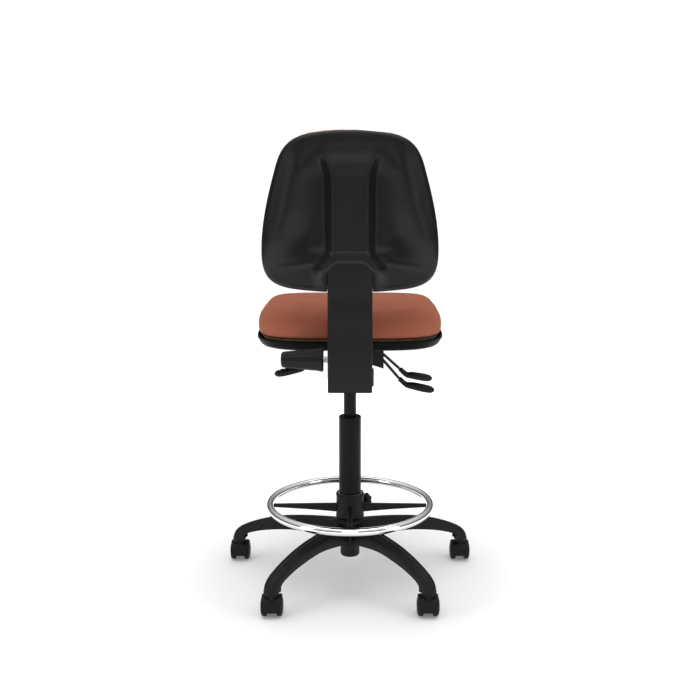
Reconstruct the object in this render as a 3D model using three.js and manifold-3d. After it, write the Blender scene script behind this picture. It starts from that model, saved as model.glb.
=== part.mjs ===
// Drafting chair: five-star base on twin-wheel castors, gas lift with a clamped foot ring, tilt mechanism
// with three levers and a tension knob, upholstered seat, and a height-adjustable back on a steel J-bar.
// Millimetres, +Z up, floor at Z = 0, lift axis on the Z axis. +Y is the way the sitter faces.
import * as THREE from "three";
import { mergeVertices } from "three/addons/utils/BufferGeometryUtils.js";
import Module from "manifold-3d";

// ---- Driving dimensions -----------------------------------------------------------------------------
const GAP = 0.3; // clearance between neighbouring solids

const ARM_ANGLES = [90, 162, 234, 306, 18]; // degrees from +X
const CASTOR_TURNS = [0, 180, 180, 180, 180]; // how each castor rests, degrees about Z
const BASE_RADIUS = 315; // lift axis to castor stem
const ARM_END_Z = 62; // underside of the arm's end
const SOCKET_TOP_Z = 80; // blind end of the hole for the castor's stem
const HUB_TOP_Z = 158;
const HUB_BOTTOM_Z = 88;
const HUB_RADIUS = 41;

const WHEEL_SIDES = 16;
const WHEEL_RADIUS = 25;
const WHEEL_INNER_X = 12;
const WHEEL_OUTER_X = 27;
const AXLE_RADIUS = 3;
const AXLE_Z = WHEEL_RADIUS * Math.cos(Math.PI / WHEEL_SIDES); // the lowest facet lies on the floor
const CASTOR_TRAIL = 8; // how far the wheel axle stands off the stem
const STEM_RADIUS = 5.5;
const HOOD_TOP_Z = ARM_END_Z - 0.9;

const TUBE_RADIUS = 25; // outer tube of the gas lift
const SLEEVE_RADIUS = 28.5; // plastic cover over it
const COLUMN_TOP_Z = 427;
const COLUMN_BOTTOM_Z = 54;
const PRESSURE_RADIUS = 16;
const PRESSURE_TOP_Z = 596;
const PRESSURE_BOTTOM_Z = 225;
const ROD_RADIUS = 5;

const COLUMN_SIDES = 20;

const RING_RADIUS = 207; // centre line of the foot ring
const RING_TUBE_RADIUS = 10;
const RING_Z = 192.5;
const RING_HUB_Z = [160.5, 224];
const CLAMP_ANGLE = 45; // degrees from +X
const CLAMP_Z = 190;

const HOUSING = { x: 48, rear: -100, front: 90, bottom: 560, top: 602.5, wall: 3 };
const SEAT_PIVOT = { y: 60, z: 590 };
const BACK_PIVOT = { y: -72, z: 586 };
const PIVOT_PIN_RADIUS = 5;
const TENSION = { y: -262, z: 620, inner: 60, outer: 155 };
const TENSION_SHAFT_RADIUS = 7;

const LEVER_ROD_RADIUS = 3.5;
const LEVER_Z = 608.4; // the levers' rods where they pass the housing's sides
// Each rod enters at x = inner, bends down at x = bend and ends run further out and drop lower. From the
// bend on, a lever is turned forward by its sweep in degrees.
const LEVERS = {
  height_lever: { side: 1, y: 0, inner: -9, bend: 60, run: 72, drop: 65, sweep: 17 },
  back_angle_lever: { side: 1, y: -65, inner: 26, bend: 60, run: 62, drop: 72, sweep: 0 },
  seat_tilt_lever: { side: -1, y: -30, inner: 26, bend: 60, run: 42, drop: 38, sweep: 0 },
};
const HANDLE_GRIP = 14; // how far a rod runs on inside its handle
// A handle's centre line from the end of its rod, outward and up.
const HANDLE_LINE = [[0, 0], [17, -14.3], [34, -18], [61, -24], [84, -29]];
// Loops round a handle: share of its line, half width and half thickness.
const HANDLE_SECTIONS = [
  [0, 6.2, 6.2], [0.12, 6.6, 6.4], [0.24, 8, 7.2], [0.4, 12, 9], [0.6, 13.5, 9.8],
  [0.8, 13, 9.8], [0.94, 11, 8.6], [1, 7, 5],
];

const SEAT = { halfWidth: 230, halfDepth: 221, centreY: 16, power: 4 };
const PAN_BOTTOM_Z = 625.5;
const PAN_RIM_Z = 652;
const CUSHION_TOP_Z = 727;

const BAR = { halfWidth: 30, thickness: 8, uprightY: -265, bendRadius: 38, top: 262 };
const BACK_TILT = THREE.MathUtils.degToRad(6);
const BAR_DEPTH = 22; // bar's centre plane behind the back's rim plane
const BACK_BOTTOM_Z = 769;
const COVER = { halfWidth: 50, tongueHalfWidth: 34, wall: 3, bottom: 553, rear: -308, front: -241 };

// ---- Solids -----------------------------------------------------------------------------------------
const wasm = await Module();
wasm.setup();

/** A closed three.js geometry as a manifold-3d solid with its faces pointing out. */
function solid(geometry) {
  const bare = geometry.index ? geometry.toNonIndexed() : geometry.clone();
  bare.deleteAttribute("normal");
  bare.deleteAttribute("uv");
  const merged = mergeVertices(bare, 1e-4);
  const make = (triVerts) =>
    new wasm.Manifold(
      new wasm.Mesh({ numProp: 3, vertProperties: merged.attributes.position.array, triVerts }),
    );
  const made = make(new Uint32Array(merged.index.array));
  if (made.volume() > 0) return made;
  return make(new Uint32Array(merged.index.array).reverse());
}

function geometryOf(manifold) {
  const mesh = manifold.getMesh();
  const positions = new Float32Array(mesh.numVert * 3);
  for (let i = 0; i < mesh.numVert; i++) {
    positions.set(mesh.vertProperties.subarray(i * mesh.numProp, i * mesh.numProp + 3), i * 3);
  }
  const geometry = new THREE.BufferGeometry()
    .setAttribute("position", new THREE.BufferAttribute(positions, 3))
    .setIndex(new THREE.BufferAttribute(mesh.triVerts, 1));
  geometry.computeVertexNormals();
  return geometry;
}

const join = (...solids) => solids.reduce((a, b) => a.add(b));
const cut = (body, ...tools) => tools.reduce((a, b) => a.subtract(b), body);

function box(x0, x1, y0, y1, z0, z1) {
  const geometry = new THREE.BoxGeometry(x1 - x0, y1 - y0, z1 - z0);
  return solid(geometry.translate((x0 + x1) / 2, (y0 + y1) / 2, (z0 + z1) / 2));
}

/** A profile of [radius, height] pairs turned about Z. It starts and ends on the axis or closes on itself. */
function turned(profile, sides = 16) {
  const onAxis = profile[0][0] === 0 && profile.at(-1)[0] === 0;
  const points = (onAxis ? profile : [...profile, profile[0]]).map(([r, z]) => new THREE.Vector2(r, z));
  return solid(new THREE.LatheGeometry(points, sides, Math.PI / sides).rotateX(Math.PI / 2));
}

const rod = (radius, z0, z1, sides = 12) =>
  turned([[0, z0], [radius, z0], [radius, z1], [0, z1]], sides);

const pipe = (inner, outer, z0, z1, sides = 16) =>
  turned([[inner, z0], [outer, z0], [outer, z1], [inner, z1]], sides);

/** A rod or pipe made along Z, laid along +X. */
const alongX = (body) => body.rotate([0, 90, 0]);

/** An outline of [y, z] points drawn out from x0 to x1. */
function plate(outline, x0, x1) {
  const shape = new THREE.Shape(outline.map(([y, z]) => new THREE.Vector2(y, z)));
  const geometry = new THREE.ExtrudeGeometry(shape, { depth: x1 - x0, bevelEnabled: false });
  return solid(geometry.rotateY(Math.PI / 2).rotateX(Math.PI / 2).translate(x0, 0, 0));
}

/** Equal loops of THREE.Vector3, skinned one to the next, with flat ends. */
function loft(loops) {
  const n = loops[0].length;
  const positions = loops.flat().flatMap((p) => [p.x, p.y, p.z]);
  const index = [];
  for (let i = 0; i + 1 < loops.length; i++) {
    for (let j = 0; j < n; j++) {
      const [a, b] = [i * n + j, i * n + ((j + 1) % n)];
      index.push(a, b, b + n, a, b + n, a + n);
    }
  }
  const flat = (loop) => {
    const across = new THREE.Vector3().subVectors(loop[1], loop[0]).normalize();
    const area = new THREE.Vector3();
    loop.forEach((p, j) => area.add(new THREE.Vector3().crossVectors(p, loop[(j + 1) % n])));
    const up = new THREE.Vector3().crossVectors(area.normalize(), across);
    return THREE.ShapeUtils.triangulateShape(
      loop.map((p) => new THREE.Vector2(p.dot(across), p.dot(up))),
      [],
    );
  };
  const last = (loops.length - 1) * n;
  for (const [a, b, c] of flat(loops[0])) index.push(a, c, b);
  for (const [a, b, c] of flat(loops.at(-1))) index.push(last + a, last + b, last + c);
  const geometry = new THREE.BufferGeometry()
    .setAttribute("position", new THREE.Float32BufferAttribute(positions, 3))
    .setIndex(index);
  return solid(geometry);
}

// ---- Colours ----------------------------------------------------------------------------------------
const finish = (color, roughness, metalness = 0) =>
  new THREE.MeshStandardMaterial({ color, roughness, metalness });
const BLACK_PLASTIC = finish(0x1c1c1d, 0.5);
const SHELL_PLASTIC = finish(0x202021, 0.38);
const BLACK_STEEL = finish(0x161617, 0.45, 0.3);
const BRIGHT_STEEL = finish(0xb4b6b8, 0.25, 1);
const CHROME = finish(0xe4e6e8, 0.08, 1);
const NYLON = finish(0xd8d6cf, 0.6);
const PLYWOOD = finish(0xb98d5e, 0.75);
const FABRIC = finish(0xa4553c, 0.9);
const TREAD = finish(0x242425, 0.7);

const chair = new THREE.Group();

function add(name, body, material, parent = chair) {
  const mesh = new THREE.Mesh(geometryOf(body), material);
  mesh.name = name;
  parent.add(mesh);
}

// ---- Castors ----------------------------------------------------------------------------------------
/** One wheel, its hub cap at +X, with a blind bore for the axle. */
function castorWheel() {
  const profile = [
    [0, WHEEL_OUTER_X],
    [15, WHEEL_OUTER_X - 0.7],
    [WHEEL_RADIUS, WHEEL_OUTER_X - 3.5],
    [WHEEL_RADIUS, WHEEL_INNER_X],
    [AXLE_RADIUS + GAP, WHEEL_INNER_X],
    [AXLE_RADIUS + GAP, WHEEL_OUTER_X - 5],
    [0, WHEEL_OUTER_X - 5],
  ];
  return alongX(turned(profile, WHEEL_SIDES));
}

/** Sector of a ring in the Y-Z plane about the axle, from angle a0 to a1 (degrees from +Y). */
function sector(inner, outer, a0, a1, steps) {
  const arc = (r, from, to) =>
    Array.from({ length: steps + 1 }, (_, i) => {
      const a = THREE.MathUtils.degToRad(from + ((to - from) * i) / steps);
      return [r * Math.cos(a), r * Math.sin(a)];
    });
  return [...arc(outer, a0, a1), ...(inner ? arc(inner, a1, a0) : [[0, 0]])];
}

/** Fork body between the wheels, fender over them and tower round the stem. Axle at the origin. */
function castorHood() {
  const half = WHEEL_INNER_X - 0.8;
  const fenderHalf = WHEEL_OUTER_X - 3.5;
  const fender = [WHEEL_RADIUS + 1.2, WHEEL_RADIUS + 3.2];
  const [from, to] = [-38, 218];
  const top = HOOD_TOP_Z - AXLE_Z;
  const tower = join(rod(half, 8, top), rod(14, fender[1] + 0.4, top));
  const body = join(
    plate(sector(0, 18, -180, 180, 12).slice(0, -2), -half, half),
    plate(sector(0, fender[1], from, to, 10), -half, half),
    plate(sector(...fender, from, to, 10), -fenderHalf, fenderHalf),
    tower.translate([0, CASTOR_TRAIL, 0]),
  );
  return cut(
    body,
    alongX(rod(AXLE_RADIUS + GAP, -half - 1, half + 1, 12)),
    rod(STEM_RADIUS + GAP, 12, 40).translate([0, CASTOR_TRAIL, 0]),
  );
}

function castorStem() {
  const [z0, z1] = [AXLE_Z + 12.5, SOCKET_TOP_Z - 1];
  const [neck, grip] = [STEM_RADIUS - 0.8, z1 - 9];
  return turned([
    [0, z0], [STEM_RADIUS, z0], [STEM_RADIUS, grip], [neck, grip + 1], [neck, z1], [0, z1],
  ], 10);
}

function addCastor(number, angle, turn) {
  const castor = new THREE.Group();
  const a = THREE.MathUtils.degToRad(angle);
  castor.position.set(BASE_RADIUS * Math.cos(a), BASE_RADIUS * Math.sin(a), 0);
  castor.rotation.z = THREE.MathUtils.degToRad(turn);
  chair.add(castor);
  const axle = new THREE.Group();
  axle.position.set(0, -CASTOR_TRAIL, AXLE_Z);
  castor.add(axle);
  const pinHalf = WHEEL_OUTER_X - 5 - GAP;
  add(`castor_${number}_hood`, castorHood(), BLACK_PLASTIC, axle);
  add(`castor_${number}_axle`, alongX(rod(AXLE_RADIUS, -pinHalf, pinHalf, 12)), BRIGHT_STEEL, axle);
  add(`castor_${number}_wheel_right`, castorWheel(), TREAD, axle);
  add(`castor_${number}_wheel_left`, castorWheel().rotate([0, 0, 180]), TREAD, axle);
  add(`castor_${number}_stem`, castorStem(), BRIGHT_STEEL, castor);
}

// ---- Five-star base ---------------------------------------------------------------------------------
// Outer (top) and inner (underside) lines of an arm, as distance from the lift axis and height.
const armLine = (points) => new THREE.SplineCurve(points.map(([r, z]) => new THREE.Vector2(r, z)));
const ARM_TOP = armLine([
  [18, 151], [110, 147], [190, 138], [250, 123], [302, 102], [325, 84], [333, ARM_END_Z],
]);
const ARM_UNDER = armLine([
  [18, 94], [80, 104], [150, 110], [225, 101], [275, 88], [297, 76], [299, ARM_END_Z],
]);
const ARM_HALF_WIDTH = { hub: 24, tip: 17 };
const ARM_STATIONS = 8;
const ARM_WALL = 5;

/** Loops across the arm. A row of the section is [share of half width, share of depth over the underside]. */
function armLoops(section, halfWidth, inset = 0) {
  return Array.from({ length: ARM_STATIONS + 1 }, (_, i) => {
    const t = i / ARM_STATIONS;
    const [top, under] = [ARM_TOP.getPointAt(t), ARM_UNDER.getPointAt(t)];
    const depth = top.distanceTo(under) - inset;
    const half = halfWidth(t);
    return section.map(([side, share]) => {
      const p = under.clone().lerp(top, (share * depth) / (depth + inset));
      return new THREE.Vector3(p.x, side * half, p.y);
    });
  });
}

const OUTER_SECTION = [[-1, 0], [1, 0], [1, 0.7], [0.6, 1], [-0.6, 1], [-1, 0.7]];
const CAVITY_SECTION = [[-1, -0.2], [1, -0.2], [1, 0.7], [0.6, 1], [-0.6, 1], [-1, 0.7]];

function baseArm() {
  const { hub, tip } = ARM_HALF_WIDTH;
  const half = (t) => hub + (tip - hub) * Math.sqrt(t);
  const cavity = loft(armLoops(CAVITY_SECTION, (t) => half(t) - ARM_WALL, ARM_WALL));
  const shell = cut(loft(armLoops(OUTER_SECTION, half)), cavity);
  const rib = loft(armLoops([[-1, 0.1], [1, 0.1], [1, 1], [-1, 1]], () => 1.8, 2));
  const boss = turned([
    [0, ARM_END_Z], [15.5, ARM_END_Z], [15.5, ARM_END_Z + 5], [8.5, SOCKET_TOP_Z + 2], [0, SOCKET_TOP_Z + 2],
  ]);
  const socket = rod(STEM_RADIUS + GAP, ARM_END_Z - 1, SOCKET_TOP_Z, 10);
  const atEnd = (body) => body.translate([BASE_RADIUS, 0, 0]);
  return cut(join(shell, rib, atEnd(boss)), atEnd(socket));
}

function baseStar() {
  const arm = baseArm();
  const arms = ARM_ANGLES.map((angle) => arm.rotate([0, 0, angle]));
  const hub = turned([
    [0, HUB_BOTTOM_Z], [HUB_RADIUS - 3, HUB_BOTTOM_Z], [HUB_RADIUS, HUB_BOTTOM_Z + 4],
    [HUB_RADIUS, HUB_TOP_Z - 6], [HUB_RADIUS - 5, HUB_TOP_Z], [0, HUB_TOP_Z],
  ], 20);
  return cut(join(hub, ...arms), rod(TUBE_RADIUS + GAP, HUB_BOTTOM_Z - 1, HUB_TOP_Z + 1, COLUMN_SIDES));
}

// ---- Gas lift ---------------------------------------------------------------------------------------
function outerTube() {
  const [floor, wall, top] = [COLUMN_BOTTOM_Z + 5, 2, COLUMN_TOP_Z - 9];
  return turned([
    [ROD_RADIUS + 1, COLUMN_BOTTOM_Z], [TUBE_RADIUS - 3, COLUMN_BOTTOM_Z], [TUBE_RADIUS, COLUMN_BOTTOM_Z + 3],
    [TUBE_RADIUS, top], [TUBE_RADIUS - wall, top], [TUBE_RADIUS - wall, floor], [ROD_RADIUS + 1, floor],
  ], COLUMN_SIDES);
}

function columnSleeve() {
  const bore = TUBE_RADIUS + GAP;
  return turned([
    [bore, HUB_TOP_Z + GAP], [SLEEVE_RADIUS, HUB_TOP_Z + GAP], [SLEEVE_RADIUS, COLUMN_TOP_Z - 4],
    [SLEEVE_RADIUS - 1.5, COLUMN_TOP_Z], [bore, COLUMN_TOP_Z],
  ], COLUMN_SIDES);
}

/** The guide that the pressure tube slides and turns in, with a flange on the outer tube's rim. */
function guideBush() {
  const [bore, rim] = [PRESSURE_RADIUS + GAP, COLUMN_TOP_Z - 9 + GAP];
  return turned([
    [bore, 345], [TUBE_RADIUS - 2 - GAP, 345], [TUBE_RADIUS - 2 - GAP, rim], [TUBE_RADIUS, rim],
    [TUBE_RADIUS, rim + 5], [TUBE_RADIUS - 3, COLUMN_TOP_Z], [bore, COLUMN_TOP_Z],
  ], COLUMN_SIDES);
}

/** The cylinder that rises with the seat, with its piston bore and a closed head for the valve pin. */
function pressureTube() {
  const [bore, boreTop] = [PRESSURE_RADIUS - 2, 545];
  return turned([
    [ROD_RADIUS + 0.6, PRESSURE_BOTTOM_Z], [PRESSURE_RADIUS, PRESSURE_BOTTOM_Z], [PRESSURE_RADIUS, boreTop],
    [PRESSURE_RADIUS - 1.5, PRESSURE_TOP_Z], [3.9, PRESSURE_TOP_Z], [3.9, 572], [0, 572], [0, boreTop - 3],
    [bore, boreTop - 3], [bore, PRESSURE_BOTTOM_Z + 4], [ROD_RADIUS + 0.6, PRESSURE_BOTTOM_Z + 4],
  ], COLUMN_SIDES);
}

function pistonRod() {
  const [end, piston] = [COLUMN_BOTTOM_Z - 2, 372];
  return turned([
    [0, end], [ROD_RADIUS, end], [ROD_RADIUS, piston], [13.3, piston],
    [13.3, piston + 20], [0, piston + 20],
  ]);
}

function addGasLift() {
  add("column_outer_tube", outerTube(), BLACK_STEEL);
  add("column_sleeve", columnSleeve(), BLACK_PLASTIC);
  add("column_guide_bush", guideBush(), NYLON);
  add("pressure_tube", pressureTube(), BLACK_STEEL);
  add("piston_rod", pistonRod(), BRIGHT_STEEL);
  const bearing = pipe(ROD_RADIUS + GAP, 15, COLUMN_BOTTOM_Z + 5.4, COLUMN_BOTTOM_Z + 14);
  add("thrust_bearing", bearing, BRIGHT_STEEL);
  add("valve_pin", turned([[0, 578], [3.5, 578], [3.5, 601], [1.4, 603.6], [0, 603.6]], 12), BRIGHT_STEEL);
}

// ---- Foot ring --------------------------------------------------------------------------------------
const ring = (tubeRadius, tubeSides) =>
  solid(new THREE.TorusGeometry(RING_RADIUS, tubeRadius, tubeSides, 36)).translate([0, 0, RING_Z]);

/** A split nylon collet that the clamp screw squeezes on the column. */
function footRingCollet() {
  const [low, high] = RING_HUB_Z;
  const sleeve = pipe(SLEEVE_RADIUS + 0.4, SLEEVE_RADIUS + 3, low + 1, high - 1, COLUMN_SIDES);
  const slit = box(26, 34, -1.5, 1.5, low - 1, high + 1);
  return cut(sleeve, slit.rotate([0, 0, CLAMP_ANGLE + 180]));
}

function footRingHub() {
  const bore = SLEEVE_RADIUS + 3.4;
  const [low, high] = RING_HUB_Z;
  const barrel = turned([
    [bore, low], [bore + 4.4, low], [bore + 4.4, high - 3], [bore + 3, high], [bore, high],
  ], COLUMN_SIDES);
  const [root, tip] = [bore + 1, RING_RADIUS - 2];
  const spoke = loft([
    [root, 6.5, 172, 193.5], [tip * 0.55, 5.5, 178, 192.8], [tip, 4.5, 183, 192],
  ].map(([r, half, under, top]) => [
    new THREE.Vector3(r, -half, under), new THREE.Vector3(r, half, under),
    new THREE.Vector3(r, half, top), new THREE.Vector3(r, -half, top),
  ]));
  const spokes = [0, 90, 180, 270].map((angle) => spoke.rotate([0, 0, angle]));
  const boss = alongX(rod(9, bore + 1, 46)).translate([0, 0, CLAMP_Z]).rotate([0, 0, CLAMP_ANGLE]);
  const hole = alongX(rod(4 + GAP, bore - 1, 48)).translate([0, 0, CLAMP_Z]).rotate([0, 0, CLAMP_ANGLE]);
  return cut(join(barrel, boss, ...spokes), ring(RING_TUBE_RADIUS + GAP, 10), hole);
}

/** Six-lobed knob moulded on its clamp stud, made along +X from the stud's tip. */
function clampKnob() {
  const [stud, grip] = [SLEEVE_RADIUS + 3.8, 47];
  const lobes = 6;
  const steps = 36;
  const outline = Array.from({ length: steps }, (_, i) => {
    const a = (2 * Math.PI * i) / steps;
    const r = 15.6 + 1.6 * Math.cos(lobes * a);
    return [r * Math.cos(a), r * Math.sin(a)];
  });
  const head = join(plate(outline, grip + 3, grip + 20), alongX(rod(10, grip, grip + 24)));
  const knob = join(head, alongX(rod(4, stud, grip + 5)));
  return knob.translate([0, 0, CLAMP_Z]).rotate([0, 0, CLAMP_ANGLE]);
}

function addFootRing() {
  add("foot_ring_collet", footRingCollet(), NYLON);
  add("foot_ring_hub", footRingHub(), BLACK_PLASTIC);
  add("foot_ring", ring(RING_TUBE_RADIUS, 10), CHROME);
  add("foot_ring_clamp_knob", clampKnob(), BLACK_PLASTIC);
}

// ---- Mechanism under the seat -----------------------------------------------------------------------
function mechanismHousing() {
  const { x, rear, front, bottom, top, wall } = HOUSING;
  const tray = cut(
    box(-x, x, rear, front, bottom, top),
    box(-x + wall, x - wall, rear - 1, front - wall, bottom + wall, top + 1),
  );
  const springBox = cut(
    box(-45, 58, rear, rear + 46, 524, bottom + 1),
    box(-41, 54, rear + 4, rear + 42, 528, bottom + wall + 1),
  );
  const hub = turned([[0, 546], [20, 546], [22, 562], [21, 592], [0, 592]], 32);
  const taper = turned([
    [0, 544], [PRESSURE_RADIUS + GAP, 544], [PRESSURE_RADIUS + GAP, 545],
    [PRESSURE_RADIUS - 1.2, 597], [0, 597],
  ], COLUMN_SIDES);
  const pinHole = (pivot) =>
    alongX(rod(PIVOT_PIN_RADIUS + GAP, -x - 1, x + 1)).translate([0, pivot.y, pivot.z]);
  const leverY = LEVERS.seat_tilt_lever.y;
  const ear = box(-x - 5, -x + 1, leverY - 10, leverY + 10, bottom + 10, LEVER_Z + 7);
  return cut(
    join(tray, springBox, hub, ear), taper, pinHole(SEAT_PIVOT), pinHole(BACK_PIVOT),
    rodHole(leverY, -x - 6, -x + 2),
  );
}

const pivotPin = (pivot) =>
  alongX(rod(PIVOT_PIN_RADIUS, -HOUSING.x - 3, HOUSING.x + 3)).translate([0, pivot.y, pivot.z]);

const rodHole = (y, x0, x1) => alongX(rod(LEVER_ROD_RADIUS + 0.8, x0, x1)).translate([0, y, LEVER_Z]);

/** Guide on the housing's right side: a hole and an open slot for each of its two lever rods. */
function leverBlock() {
  const [x0, x1, wall] = [HOUSING.x + GAP, 82, 4];
  const outline = [[-88, 566], [24, 566], [34, 572], [34, 615], [-88, 615]];
  const slope = [[x0 - 1, 560], [x1 + 1, 560], [x1 + 1, 565.7], [x0 - 1, 577]]; // rises towards the housing
  const underside = loft([-90, 36].map((y) => slope.map(([x, z]) => new THREE.Vector3(x, y, z))));
  const slot = ({ y, bend, sweep }) => {
    const forward = (x1 - bend) * Math.tan(THREE.MathUtils.degToRad(sweep));
    return box(x0 + wall, x1 + 1, y - 6, y + 6 + forward, 560, 617);
  };
  const pinRelief = alongX(rod(PIVOT_PIN_RADIUS + 1, x0 - 1, x0 + wall));
  const rightLevers = Object.values(LEVERS).filter((lever) => lever.side === 1);
  return cut(
    plate(outline, x0, x1),
    underside,
    ...rightLevers.flatMap((lever) => [slot(lever), rodHole(lever.y, x0 - 1, x0 + wall + 1)]),
    pinRelief.translate([0, BACK_PIVOT.y, BACK_PIVOT.z]),
  );
}

function tensionShaft() {
  const shaft = join(
    rod(TENSION_SHAFT_RADIUS, -TENSION.inner - 8, -BAR.halfWidth - 1),
    rod(TENSION_SHAFT_RADIUS - 2, -TENSION.inner - 35, -TENSION.inner),
  );
  return alongX(shaft).translate([0, TENSION.y, TENSION.z]);
}

/** Tapered grip, widest next to the cover, with a blind stepped bore for the shaft. */
function tensionKnob() {
  const { inner, outer } = TENSION;
  const [wide, narrow] = [TENSION_SHAFT_RADIUS + GAP, TENSION_SHAFT_RADIUS - 2 + GAP];
  const [step, end] = [-inner - 8 - GAP, -inner - 35 - GAP];
  const profile = [
    [0, -outer], [14, -outer], [18.4, -outer + 5], [25.6, -inner - 12], [27.4, -inner - 4], [26, -inner],
    [wide, -inner], [wide, step], [narrow, step], [narrow, end], [0, end],
  ];
  return alongX(turned(profile, 20)).translate([0, TENSION.y, TENSION.z]);
}

const circle = (radius, sides) => {
  const points = Array.from({ length: sides }, (_, i) => {
    const a = (2 * Math.PI * (i + 0.5)) / sides;
    return new THREE.Vector2(radius * Math.cos(a), radius * Math.sin(a));
  });
  return new THREE.Shape(points);
};

function sweptRod(points, radius, sides = 8, steps = 9) {
  const extrudePath = new THREE.CatmullRomCurve3(points, false, "catmullrom", 0.05);
  return solid(new THREE.ExtrudeGeometry(circle(radius, sides), { steps, extrudePath, bevelEnabled: false }));
}

/** A point of a lever: x outward, z up from its rod's level, and across its own vertical plane. */
function at(lever, x, z, across = 0) {
  const a = THREE.MathUtils.degToRad(lever.sweep);
  const beyond = Math.max(0, x - lever.bend);
  return new THREE.Vector3(
    lever.side * (x - beyond * (1 - Math.cos(a)) - across * Math.sin(a)),
    lever.y + beyond * Math.sin(a) + across * Math.cos(a),
    LEVER_Z + z,
  );
}

/** A point on the sloping part of a lever's rod, or on its line carried on past the end. */
function slopePoint({ run, drop, ...lever }, distance) {
  const share = distance / Math.hypot(run, drop);
  return at(lever, lever.bend + run * share, -drop * share);
}

function leverRod(lever) {
  const { inner, bend, run, drop } = lever;
  const end = Math.hypot(run, drop) + HANDLE_GRIP;
  const points = [
    at(lever, inner, 0), at(lever, bend - 6, 0), at(lever, bend, 0),
    slopePoint(lever, 7), slopePoint(lever, end),
  ];
  return sweptRod(points, LEVER_ROD_RADIUS);
}

function leverHandle(lever) {
  const line = new THREE.CatmullRomCurve3(
    HANDLE_LINE.map(([x, z]) => new THREE.Vector3(lever.bend + lever.run + x, 0, z - lever.drop)),
  );
  const sides = 10;
  const loops = HANDLE_SECTIONS.map(([t, halfWidth, halfThick]) => {
    const [p, along] = [line.getPointAt(t), line.getTangentAt(t)];
    return Array.from({ length: sides }, (_, i) => {
      const a = (2 * Math.PI * i) / sides;
      const [across, up] = [halfWidth * Math.cos(a), halfThick * Math.sin(a)];
      return at(lever, p.x - along.z * up, p.z + along.x * up, across);
    });
  });
  const rodEnd = Math.hypot(lever.run, lever.drop);
  const [from, to] = [rodEnd - 10, rodEnd + HANDLE_GRIP + 1].map((distance) => slopePoint(lever, distance));
  return cut(loft(loops), sweptRod([from, to], LEVER_ROD_RADIUS + 2 * GAP, 12, 1));
}

function addMechanism() {
  add("mechanism_housing", mechanismHousing(), BLACK_STEEL);
  add("lever_block", leverBlock(), BLACK_PLASTIC);
  add("seat_pivot_pin", pivotPin(SEAT_PIVOT), BRIGHT_STEEL);
  add("back_pivot_pin", pivotPin(BACK_PIVOT), BRIGHT_STEEL);
  add("tension_shaft", tensionShaft(), BRIGHT_STEEL);
  add("tension_knob", tensionKnob(), BLACK_PLASTIC);
  for (const [name, lever] of Object.entries(LEVERS)) {
    add(`${name}_rod`, leverRod(lever), BLACK_STEEL);
    add(`${name}_handle`, leverHandle(lever), BLACK_PLASTIC);
  }
}

// ---- Seat -------------------------------------------------------------------------------------------
/** Point on the seat's plan outline at an angle, scaled about its centre. */
function seatPoint(angle, scale) {
  const { halfWidth, halfDepth, centreY, power } = SEAT;
  const [c, s] = [Math.cos(angle), Math.sin(angle)];
  const reach = (Math.abs(c) ** power + Math.abs(s) ** power) ** (-1 / power) * scale;
  return [halfWidth * reach * c, centreY + halfDepth * reach * s];
}

/** How far the cushion's surface sinks towards the front edge and the rear. */
function seatFall(y) {
  const front = Math.max(0, y - 110) / 127;
  const rear = Math.max(0, -40 - y) / 165;
  return 20 * front ** 2 + 11 * rear ** 1.5;
}

function seatRings(rings, sides, shaped = () => 0) {
  return rings.map(([scale, z]) =>
    Array.from({ length: sides }, (_, i) => {
      const [x, y] = seatPoint((2 * Math.PI * (i + 0.5)) / sides, scale);
      return new THREE.Vector3(x, y, z - shaped(y, z));
    }),
  );
}

function seatPan() {
  const sides = 32;
  const [low, rim] = [PAN_BOTTOM_Z, PAN_RIM_Z];
  const outside = [[0.85, low], [0.92, low + 2], [0.955, low + 9], [0.977, low + 18], [0.982, rim]];
  const inside = [[0.84, low + 3], [0.905, low + 5], [0.94, low + 11], [0.962, low + 19], [0.968, rim + 1]];
  return cut(loft(seatRings(outside, sides)), loft(seatRings(inside, sides)));
}

const seatBoard = () =>
  loft(seatRings([[0.915, PAN_RIM_Z - 13], [0.95, PAN_RIM_Z]], 24));

function seatCushion() {
  const base = PAN_RIM_Z + GAP;
  const thick = CUSHION_TOP_Z - base;
  const fall = (y, z) => seatFall(y) * ((z - base) / thick) ** 1.5;
  const rings = [
    [0.985, 0], [1, 0.14], [1, 0.32], [0.985, 0.56], [0.955, 0.76], [0.89, 0.91], [0.77, 0.98], [0.5, 1],
    [0.2, 1],
  ].map(([scale, share]) => [scale, base + share * thick]);
  return loft(seatRings(rings, 32, fall));
}

/** Steel plate under the pan, with two ears down to the seat's pivot pin. */
function seatPlate() {
  const top = PAN_BOTTOM_Z - GAP;
  const sheet = box(-80, 80, -60, 112, top - 3.5, top);
  const { y, z } = SEAT_PIVOT;
  const side = [[y - 22, top - 2], [y - 10, z - 10], [y + 10, z - 10], [y + 22, top - 2]];
  const ear = (x) => plate(side, x, x + 4);
  const hole = alongX(rod(PIVOT_PIN_RADIUS + GAP, -60, 60)).translate([0, y, z]);
  return cut(join(sheet, ear(-43), ear(39)), hole);
}

function addSeat() {
  add("seat_plate", seatPlate(), BLACK_STEEL);
  add("seat_pan", seatPan(), BLACK_PLASTIC);
  add("seat_board", seatBoard(), PLYWOOD);
  add("seat_cushion", seatCushion(), FABRIC);
}

// ---- Back bar and its covers ------------------------------------------------------------------------
const UPRIGHT_Z = BACK_PIVOT.z + BAR.bendRadius; // where the bar's bend ends and its upright starts

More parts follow.
